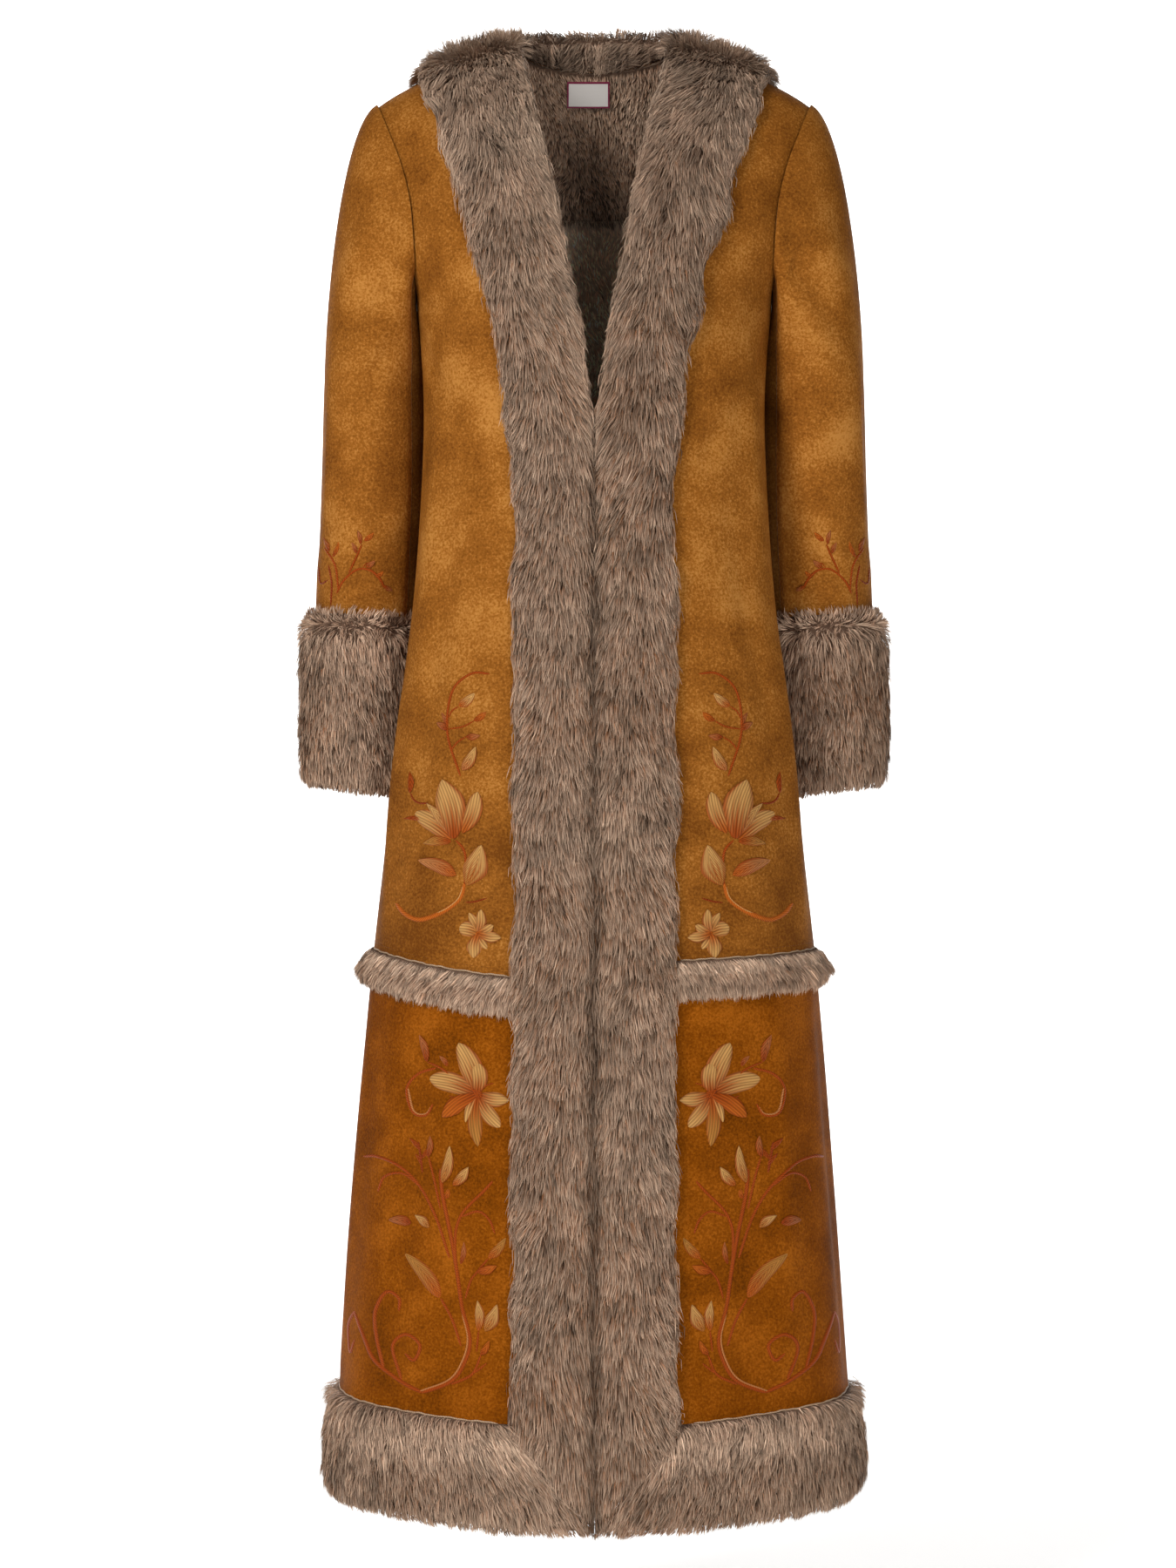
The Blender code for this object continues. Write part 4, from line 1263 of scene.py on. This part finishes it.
def fur_pieces():
    band = Coat(60000, 0.0205, 0.36, 0.40, 0.0, 0.24, 0.0075, 0.40, 0.30, band_style)
    strip = Coat(9000, 0.0150, 0.30, 0.0, 0.28, 0.14, 0.0060, 0.50, 0.8, strip_style)
    hem = Coat(17000, 0.0170, 0.34, 0.0, 0.16, 0.24, 0.0080, 0.50, 0.7, hem_style)
    cuff = Coat(27000, 0.0165, 0.30, 0.0, 0.0, 0.20, 0.0070, 0.45, 0.45, cuff_style)
    collar = Coat(26000, 0.0160, 0.80, 0.0, 0.0, 0.60, 0.0090, 0.65, 1.0, collar_style)
    yoke = Coat(15000, 0.0080, 0.36, 0.0, 0.0, 0.50, 0.0060, 0.30, 0.5, yoke_style)
    for side, word in SIDE_NAMES.items():
        seed = 40 + side
        kept = band._replace(keep=within_band(side))
        add_fur(f"front_band_{word}", band_surface(side), (14, 130), (0.085, 1.37), kept, seed)
        add_fur(f"tier_strip_{word}", strip_surface(side), (30, 6), (0.25, 0.026), strip, seed + 10)
        add_fur(f"hem_band_{word}", hem_surface(side), (36, 12), (0.33, 0.09), hem, seed + 20)
        add_fur(f"cuff_{word}", cuff_surface(side), (48, 14), (0.40, 0.165), cuff, seed + 30, ring=True)
    add_fur("collar_back", collar_surface, (40, 24), (0.33, 0.175), collar, 81)
    strip_back = strip._replace(strands=18000, lean=0.0)
    add_fur("tier_strip_back", strip_surface(0), (70, 6), (0.60, 0.030), strip_back, 82)
    hem_back = hem._replace(strands=31000, lean=0.0)
    add_fur("hem_band_back", hem_surface(0), (80, 12), (0.70, 0.095), hem_back, 83)
    inside = lining_surface(YOKE_START, 1.0)
    add_fur("lining_yoke", inside, (30, 16), (0.24, 0.17), yoke, 84)
    inside = lining_surface(LINING_START, YOKE_START)
    lining = yoke._replace(style=lining_style)
    add_fur("lining_back", inside, (30, 26), (0.25, 0.33), lining, 85, down=painted_light_lining_base)


# Embroidery and sewing: drawn in millimetres outwards from the middle and up, from an anchor
RUST = "#8F3C10"
ORANGE = "#A9551A"
GOLD = "#A46E32"
CREAM = "#B98A50"
PEACH = "#AC6E3E"
MAUVE = "#9A5830"
DARK = "#7E3010"
CUT_EDGE = "#BFA183"
SEWING = "#6E3A0C"

Leaf = namedtuple("Leaf", "base tip breadth root_colour tip_colour blunt", defaults=(0.0,))
Stem = namedtuple("Stem", "points width colour")
Motif = namedtuple("Motif", "anchor stems leaves")

# Stem stitch: how much fuller than drawn, how far its ends taper, how its threads slant and how deep its
# edges sink into the cloth
STEM_FULLNESS = 1.35
STEM_TAPER = 6
STEM_SLANT = 1.4
STEM_SUNK = 0.0002

# Satin stitch: petals blunter than this have threads along them, and the leaves lie over each other in layers
PETAL_BLUNT = 0.4
LEAF_RAISED = 0.0014
LEAF_LAYER = 0.00035
LEAF_SUNK = 0.0003
LAYERS = 5

# Sewing along the edges: the radius for millimetres round the body, a stitch and the gap after it, how high
# over the knee edge they are, and the step along a cut edge
EDGE_GIRTH = 0.2
STITCH = 3.8
STITCH_GAP = 1.4
STITCH_UP = 6.0
EDGE_STEP = 6.0

LILY = Motif(
    (125, -724),
    (
        Stem(((-2, 0), (-9, -8), (-11, -20), (-10, -40)), 2.0, RUST),
        Stem(((-10, -38), (-6, -51), (4, -60), (17, -67), (32, -71), (45, -66), (53, -57)), 3.4, ORANGE),
        # A pale thread along the orange stem: a painted highlight
        Stem(((-9, -39), (-5, -51), (5, -60), (17, -66)), 1.5, CREAM),
        Stem(((-11, -55), (-20, -54), (-30, -51)), 1.3, DARK),
        Stem(((23, 33), (32, 33), (38, 36), (41, 42)), 1.4, DARK),
    ),
    (
        Leaf((1, 1), (37, 25), 19, ORANGE, CREAM, 0.6),
        Leaf((28, 18), (47, 19), 4, PEACH, RUST),
        Leaf((3, 6), (25, 33), 10, PEACH, CREAM),
        Leaf((-8, 6), (-22, 43), 16, ORANGE, CREAM, 0.7),
        Leaf((-1, 1), (10, 54), 26, RUST, CREAM, 0.5),
        Leaf((-2, 1), (2, 40), 13, RUST, CREAM, 0.6),
        Leaf((2, -1), (28, -3), 9, RUST, GOLD),
        Leaf((-12, -40), (-25, -4), 21, GOLD, CREAM, 0.2),
        Leaf((-3, -31), (32, -18), 13, ORANGE, PEACH),
        Leaf((41, 42), (41, 61), 5, DARK, RUST),
        Leaf((-22, -82), (-5, -77), 15, GOLD, CREAM, 1.0),
        Leaf((-22, -82), (-14, -64), 8, GOLD, CREAM, 0.8),
        Leaf((-22, -82), (-25, -61), 10, PEACH, CREAM, 0.8),
        Leaf((-22, -82), (-36, -75), 9, ORANGE, CREAM, 0.8),
        Leaf((-22, -82), (-43, -86), 10, ORANGE, CREAM, 0.6),
        Leaf((-22, -82), (-30, -96), 8, ORANGE, CREAM, 0.8),
        Leaf((-22, -82), (-18, -104), 13, ORANGE, CREAM, 0.8),
        Leaf((-24, -83), (-20, -81), 4, RUST, ORANGE),
    ),
)
UPPER_SPRIG = Motif(
    (119, -667),
    (
        Stem(((0, 0), (12, 39), (8, 75), (-9, 91), (-26, 91)), 1.9, RUST),
        Stem(((9, 22), (3, 30), (-5, 35)), 1.3, RUST),
        Stem(((11, 52), (8, 58), (2, 62)), 1.3, RUST),
        Stem(((11, 42), (-2, 44), (-12, 49)), 1.3, RUST),
    ),
    (
        Leaf((2, 62), (-13, 74), 9, ORANGE, CREAM),
        Leaf((-12, 49), (-23, 57), 6, RUST, ORANGE),
        Leaf((-5, 35), (-18, 36), 6, DARK, MAUVE),
        Leaf((-2, 5), (-14, 26), 10, PEACH, CREAM),
        Leaf((12, 41), (22, 48), 6, DARK, MAUVE),
        Leaf((12, 44), (18, 57), 5, DARK, MAUVE),
    ),
)
LARGE_FLOWER = Motif(
    (103, -948),
    (
        Stem(((38, 22), (55, 16), (65, 2), (60, -18), (48, -20), (41, -10)), 2.0, RUST),
        # A pale thread along the rust stem: a painted highlight
        Stem(((64, 3), (59, -17), (48, -19), (42, -11)), 1.4, PEACH),
        Stem(((16, 6), (30, 20), (46, 27)), 1.6, RUST),
        Stem(((2, 0), (10, 14), (13, 22)), 1.2, RUST),
        Stem(((2, 0), (-8, 8), (-14, 10)), 1.2, RUST),
        Stem(((2, 0), (18, -4), (26, -2)), 1.2, RUST),
        Stem(((2, 0), (-2, -14), (-3, -22)), 1.2, RUST),
    ),
    (
        Leaf((0, 0), (45, 13), 20, RUST, CREAM, 0.8),
        Leaf((0, 0), (-28, -5), 13, RUST, CREAM, 0.6),
        Leaf((0, 0), (17, 45), 20, RUST, CREAM, 0.9),
        Leaf((0, 0), (0, 28), 16, RUST, CREAM, 1.0),
        Leaf((0, 0), (32, -21), 14, RUST, ORANGE, 0.7),
        Leaf((0, 0), (-20, -29), 15, RUST, CREAM, 0.8),
        Leaf((0, 0), (0, -46), 13, RUST, GOLD, 0.7),
        Leaf((1, 0), (11, -25), 7, RUST, CREAM, 0.6),
        Leaf((-4, -3), (5, 4), 7, RUST, RUST),
        Leaf((46, 27), (53, 51), 7, DARK, MAUVE),
        Leaf((27, 24), (35, 33), 5, DARK, MAUVE),
    ),
)
SCROLL = Motif(
    (154, -1213),
    (
        Stem(
            ((0, 0), (-26, 12), (-38, 29), (-43, 49), (-36, 77))
            + ((-32, 105), (-27, 136), (-19, 175), (-17, 198)),
            3.0,
            RUST,
        ),
        # A pale thread along the main stem: a painted highlight
        Stem(((2, 1), (-24, 13), (-36, 30), (-41, 50), (-36, 72)), 1.5, PEACH),
        Stem(((-36, 77), (-30, 128), (-35, 157), (-57, 181), (-64, 189)), 2.2, RUST),
        Stem(((0, 0), (20, 9), (40, 24), (50, 44), (60, 64)), 3.0, RUST),
        Stem(((60, 64), (66, 50), (64, 27), (59, 39)), 2.2, RUST),
        Stem(((33, 18), (39, 46), (40, 68), (31, 86), (21, 81), (21, 70)), 2.5, RUST),
        Stem(((18, 10), (26, 38), (15, 50), (2, 42), (7, 28), (15, 33)), 2.5, RUST),
        Stem(((-35, 43), (-27, 66), (-17, 84)), 2.1, RUST),
        Stem(((-26, 9), (-45, 19), (-53, 36)), 2.1, RUST),
        Stem(((-45, 19), (-52, 24), (-58, 29)), 1.7, RUST),
        Stem(((-51, 57), (-50, 48), (-49, 39)), 1.7, RUST),
        Stem(((-39, 85), (-44, 101), (-50, 109), (-60, 121)), 1.8, RUST),
        Stem(((-25, 120), (-13, 155), (2, 181), (22, 199), (41, 205), (53, 203)), 2.2, RUST),
        Stem(((2, 181), (18, 192), (33, 188), (39, 174)), 1.8, RUST),
        Stem(((-17, 163), (-11, 190), (-6, 208)), 1.8, RUST),
        Stem(((0, 194), (2, 208), (4, 221)), 1.8, DARK),
        Stem(((-36, 157), (-51, 162), (-61, 155), (-66, 143)), 1.8, RUST),
    ),
    (
        Leaf((-17, 84), (17, 122), 15, ORANGE, GOLD),
        Leaf((-51, 57), (-50, 84), 9, ORANGE, CREAM),
        Leaf((-57, 57), (-68, 81), 12, GOLD, CREAM),
        Leaf((-53, 36), (-61, 49), 6, RUST, ORANGE),
        Leaf((-50, 109), (-68, 115), 8, RUST, ORANGE),
        Leaf((-60, 121), (-76, 140), 9, ORANGE, GOLD),
        Leaf((-35, 115), (-38, 135), 5, DARK, MAUVE),
        Leaf((-7, 146), (7, 156), 8, GOLD, CREAM),
        Leaf((10, 149), (29, 150), 9, DARK, MAUVE),
        Leaf((-6, 208), (-8, 227), 6, DARK, MAUVE),
        Leaf((0, 200), (8, 211), 4, DARK, RUST),
        Leaf((2, 206), (-6, 217), 4, DARK, RUST),
        Leaf((3, 214), (12, 224), 4, DARK, RUST),
        Leaf((-19, 186), (-26, 219), 10, GOLD, CREAM),
        Leaf((-29, 184), (-43, 201), 9, ORANGE, CREAM),
        Leaf((-22, 172), (-24, 181), 5, RUST, ORANGE),
    ),
)
SLEEVE_SPRIG = Motif(
    (235, -499),
    (
        Stem(((0, 0), (-6, 12), (-18, 21), (-31, 20), (-39, 12), (-43, 4)), 1.9, RUST),
        Stem(((-10, 18), (-18, 33), (-23, 44)), 1.6, RUST),
        Stem(((-1, 4), (2, 26), (12, 42)), 1.6, RUST),
        Stem(((6, -11), (5, 9), (8, 26)), 1.4, DARK),
        Stem(((18, 25), (16, 10), (8, 13)), 1.3, DARK),
        Stem(((-22, 21), (-26, 26), (-29, 27)), 1.2, RUST),
    ),
    (
        Leaf((-25, 47), (-34, 55), 5, RUST, ORANGE),
        Leaf((-22, 44), (-19, 57), 4, DARK, MAUVE),
        Leaf((-18, 36), (-14, 46), 4, DARK, MAUVE),
        Leaf((-26, 23), (-35, 29), 5, RUST, MAUVE),
        Leaf((-42, 7), (-50, 2), 4, RUST, MAUVE),
        Leaf((-36, 15), (-42, 20), 4, RUST, ORANGE),
        Leaf((4, 33), (-2, 47), 4, RUST, ORANGE),
        Leaf((7, 38), (13, 52), 4, DARK, MAUVE),
    ),
)


def on_front(side):
    """Places on a front from millimetres outwards from the middle and up, a height off the cloth."""

    def at(a, b, lift):
        height = b / 1000 - UNDERARM_Z
        return cloth(side * front_angle(a / 1000, height), height, lift)

    return at


def on_sleeve(side):
    """Places on the front of a sleeve, in the same millimetres."""

    def at(a, b, lift):
        z = b / 1000
        across = (a / 1000 - column(ARM_ROWS, "centre_x", z)) / column(ARM_ROWS, "half_width", z)
        t = 1 + (z - BICEPS_Z) / (SLEEVE_END_Z - BICEPS_Z)
        return sleeve_cloth(side, np.arccos(np.clip(across, -1, 1)), t, lift)

    return at


def on_edge(level):
    """Places round the body from millimetres round it at a steady girth, and up from a level edge."""

    def at(a, b, lift):
        angle = a / 1000 / EDGE_GIRTH
        return cloth(angle, level(angle) + b / 1000, lift)

    return at


def patch(at, a, b, lift, spread, colours):
    """Points, faces, colours and flat places of one raised patch of thread, from grids of them."""
    rows, cols = a.shape
    points = at(a.ravel(), b.ravel(), lift.ravel())
    grid = np.arange(rows * cols).reshape(rows, cols)
    faces = np.stack([grid[:-1, :-1], grid[1:, :-1], grid[1:, 1:], grid[:-1, 1:]], -1).reshape(-1, 4)
    middle = rows // 2 * cols + cols // 2
    far_off = 0.05
    spot = (a.ravel()[middle : middle + 1], b.ravel()[middle : middle + 1])
    out = at(*spot, np.array([far_off]))[0] - points[middle]
    if quad_ways(points[faces]).sum(0) @ out < 0:
        faces = faces[:, ::-1]
    return points, faces, colours.reshape(-1, 3), spread.reshape(-1, 2)


def smooth_path(points, step):
    """Places about `step` apart on a smooth curve through points."""
    points = np.array(points, float)
    ends = np.vstack([2 * points[0] - points[1], points, 2 * points[-1] - points[-2]])
    path = []
    for before, start, end, after in zip(ends, ends[1:], ends[2:], ends[3:]):
        count = max(3, int(np.linalg.norm(end - start) / step))
        t = np.linspace(0, 1, count, endpoint=False)[:, None]
        path.append(hermite(start, (end - before) / 2, end, (after - start) / 2, t))
    return np.vstack(path + [points[-1:]])


def stem_patch(at, points, width, colour, raised=0.0009, step=2.2):
    """A line of stem stitch: a narrow rounded ridge with slanting threads, thin at its ends, painted lighter
    along its crown and darker at its sides.
    """
    path = smooth_path(points, step)
    way = unit(np.gradient(path, axis=0))
    run = np.concatenate([[0], np.cumsum(np.linalg.norm(np.diff(path, axis=0), axis=1))])
    taper = np.clip(np.minimum(run, run[-1] - run) / STEM_TAPER, 0, 1) ** 0.5
    across = np.array([-1.0, -0.5, 0.0, 0.5, 1.0])
    half = (width / 2 * mix(0.45, 1, taper))[:, None] * across
    a = path[:, :1] - way[:, 1:] * half
    b = path[:, 1:] + way[:, :1] * half
    lift = raised * np.sqrt(1 - across**2) * mix(0.5, 1, taper)[:, None] - STEM_SUNK
    spread = np.stack([run[:, None] + STEM_SLANT * half, half], -1) / 1000
    # Painted highlight and shade: lighter along the ridge's crown, darker at its sides
    colours = np.broadcast_to(linear(colour), (*a.shape, 3)) * mix(0.6, 1.25, 1 - across**2)[None, :, None]
    return patch(at, a, b, lift, spread, colours)


def leaf_patch(at, leaf, order):
    """Satin stitch with a dark edge: slanting threads on a leaf, threads along it on a blunt petal."""
    base, tip = np.array(leaf.base, float), np.array(leaf.tip, float)
    s = np.linspace(0, 1, 19)[:, None]
    t = np.array([-1.0, -0.9, -0.72, -0.54, -0.36, -0.18, 0.0, 0.18, 0.36, 0.54, 0.72, 0.9, 1.0])
    run = np.linalg.norm(tip - base)
    way = (tip - base) / run
    outline = np.sin(np.pi * s ** mix(0.85, 1.25, leaf.blunt)) ** mix(0.8, 0.6, leaf.blunt)
    half = leaf.breadth / 2 * outline * t * (1 + 0.06 * np.sin(9 * s + 2 * order))
    bow = 0.06 * run * np.sin(np.pi * s)
    a = base[0] + way[0] * run * s - way[1] * (half + bow)
    b = base[1] + way[1] * run * s + way[0] * (half + bow)
    crown = np.sqrt(np.clip(1 - t**2, 0, 1)) * (1 - 0.45 * hump(t, 0, 0.14))
    raised = min(LEAF_RAISED, 0.00012 * leaf.breadth + 0.0003)
    lift = raised * crown * np.sqrt(outline) + LEAF_LAYER * order - LEAF_SUNK
    if leaf.blunt > PETAL_BLUNT:
        slant = half + 0.05 * run * s
    else:
        slant = 0.55 * run * s + 1.5 * np.abs(half)
    spread = np.stack([slant, half + 0 * s], -1) / 1000
    share = ease(s * 1.9 - 0.15 + 0.25 * np.abs(t))[..., None]
    fill = mix(linear(leaf.root_colour), linear(leaf.tip_colour), share)
    rows = 0.05 * np.sin(slant * 2.3 + 2 * order)[..., None] + 0.06 * np.sin(slant * 0.9 + order)[..., None]
    streak = np.array([0, 0, 0.6, 0, 0.8, 0, 0.9, 0, 0.8, 0, 0.6, 0, 0]) * (1 - rise(s, 0.30, 0.55))
    edge = np.where(t > 0, 0.85, 0.6) * rise(np.abs(t), 0.6, 0.3)
    rim = np.maximum(streak, edge)[..., None]
    colours = mix(fill * (1 + rows), linear(RUST), rim)
    return patch(at, a, b, lift, spread, np.clip(colours, 0, 1))


def add_patches(name, patches):
    """One piece of many patches of thread."""
    points, faces, colours, spread = zip(*patches)
    starts = np.cumsum([0] + [len(part) for part in points])
    faces = np.concatenate([part + start for part, start in zip(faces, starts)])
    points, colours, spread = (np.concatenate(parts) for parts in (points, colours, spread))
    piece = add_joined(name, points, faces, stitching, colours, spread)


def motif_patches(at, motif):
    """All stems and leaves of a motif, the later ones on top of the earlier."""
    shift = np.array(motif.anchor)
    patches = []
    for stem in motif.stems:
        patches.append(stem_patch(at, np.array(stem.points) + shift, STEM_FULLNESS * stem.width, stem.colour))
    for order, leaf in enumerate(motif.leaves):
        moved = leaf._replace(base=np.array(leaf.base) + shift, tip=np.array(leaf.tip) + shift)
        patches.append(leaf_patch(at, moved, order % LAYERS))
    return patches


def embroidery():
    for side, word in SIDE_NAMES.items():
        front = on_front(side)
        upper = motif_patches(front, LILY) + motif_patches(front, UPPER_SPRIG)
        add_patches(f"front_embroidery_upper_{word}", upper)
        lower = motif_patches(front, LARGE_FLOWER) + motif_patches(front, SCROLL)
        add_patches(f"front_embroidery_lower_{word}", lower)
        add_patches(f"sleeve_embroidery_{word}", motif_patches(on_sleeve(side), SLEEVE_SPRIG))


def sewing():
    """The row of stitches above the knee edge, and the pale cut edges of the suede at knee and hem."""
    start = 1000 * EDGE_GIRTH * front_angle(band_x(1, TIER_Z - UNDERARM_Z), TIER_Z - UNDERARM_Z)
    round_it = 2000 * np.pi * EDGE_GIRTH
    knee = on_edge(tier_height)
    hem = on_edge(lambda angle: hem_height(angle, 1))
    stitches = []
    for a in np.arange(start, round_it - start, STITCH + STITCH_GAP):
        points = ((a, STITCH_UP), (a + STITCH / 2, STITCH_UP + 0.1), (a + STITCH, STITCH_UP))
        stitches.append(stem_patch(knee, points, 0.8, SEWING, 0.0005, 1.3))
    add_patches("knee_stitches", stitches)
    edges = []
    for at in (knee, hem):
        a = np.arange(start, round_it - start + EDGE_STEP, EDGE_STEP)
        wave = 0.35 * np.sin(a * 0.21) + 0.25 * np.sin(a * 0.57 + 1)
        edges.append(stem_patch(at, np.column_stack([a, 0.4 + wave]), 1.7, CUT_EDGE, 0.0008, 3.0))
    add_patches("suede_cut_edges", edges)


# Label


def label():
    def place(u, v):
        x = LABEL_X + mix(LABEL_HALF, -LABEL_HALF, u)
        top_z = -NAPE_DROP - LABEL_TOP
        z = mix(top_z - LABEL_DEPTH, top_z, v)
        share = (z - UNDERARM_Z) / (ridge_z(x) - UNDERARM_Z)
        angle = np.pi - np.sign(x) * front_angle(x, share)
        near = WALL + SEAM + LINING_PILE + LABEL_LIFT
        return off_body(angle, share, -near), off_body(angle, share, -near - LABEL_WALL)

    piece = add_shell("label_weave", 16, 10, place, (label_cloth,), (2 * LABEL_HALF, LABEL_DEPTH))
    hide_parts("label")


# Stage, light and camera


def stage():
    floor_z = HEM_Z - FLOOR_BELOW
    near_y, wall_y, bend, high, wide = -3.0, 8.0, 1.2, 4.0, 4.5
    made = bmesh.new()
    profile = [(near_y, floor_z), (wall_y - bend, floor_z)]
    for turn in np.linspace(0, np.pi / 2, 12)[1:]:
        profile.append((wall_y - bend + bend * np.sin(turn), floor_z + bend * (1 - np.cos(turn))))
    profile.append((wall_y, high))
    row = [made.verts.new((-wide, y, z)) for y, z in profile]
    edges = [made.edges.new(pair) for pair in zip(row, row[1:])]
    grown = bmesh.ops.extrude_edge_only(made, edges=edges)
    far = [item for item in grown["geom"] if isinstance(item, bmesh.types.BMVert)]
    bmesh.ops.translate(made, vec=(2 * wide, 0, 0), verts=far)
    bmesh.ops.recalc_face_normals(made, faces=made.faces[:])
    mesh = bpy.data.meshes.new("studio_sweep")
    made.to_mesh(mesh)
    made.free()
    mesh.materials.append(studio_paper())
    mesh.shade_smooth()
    add_object("studio_sweep", mesh)


def softbox(name, place, aim, size, watts):
    light = bpy.data.lights.new(name, "AREA")
    light.shape = "RECTANGLE"
    light.size, light.size_y = size
    light.energy = watts
    lamp = add_object(name, light)
    lamp.location = place
    lamp.rotation_euler = (Vector(aim) - Vector(place)).to_track_quat("-Z", "Y").to_euler()


def lights():
    world = bpy.data.worlds.new("studio")
    world.use_nodes = True
    sky = world.node_tree.nodes["Background"].inputs
    sky["Color"].default_value = (1, 1, 1, 1)
    sky["Strength"].default_value = SKY_STRENGTH
    bpy.context.scene.world = world
    softbox("key_softbox", (-1.9, -3.0, 1.3), (0, 0, -0.55), (1.2, 1.2), 112)
    softbox("fill_softbox", (1.2, -3.8, -1.0), (0, 0, -1.1), (1.4, 1.4), 52)
    softbox("paper_light", (0, 6.0, 3.8), (0, 8.4, -0.9), (6.0, 1.5), 320)
    bpy.context.scene.view_settings.view_transform = "Standard"


def camera():
    eye = bpy.data.cameras.new("photo_view")
    eye.sensor_fit = "VERTICAL"
    eye.sensor_height = SENSOR
    eye.lens = CAMERA_LENS
    view = add_object("photo_view", eye)
    view.location = CAMERA_PLACE
    view.rotation_euler = (np.pi / 2, 0, 0)
    bpy.context.scene.camera = view


camera()
stage()
lights()
for side in SIDE_NAMES:
    front_upper(side)
    front_lower(side)
    sleeves(side)
back_upper()
back_lower()
fur_pieces()
embroidery()
sewing()
label()
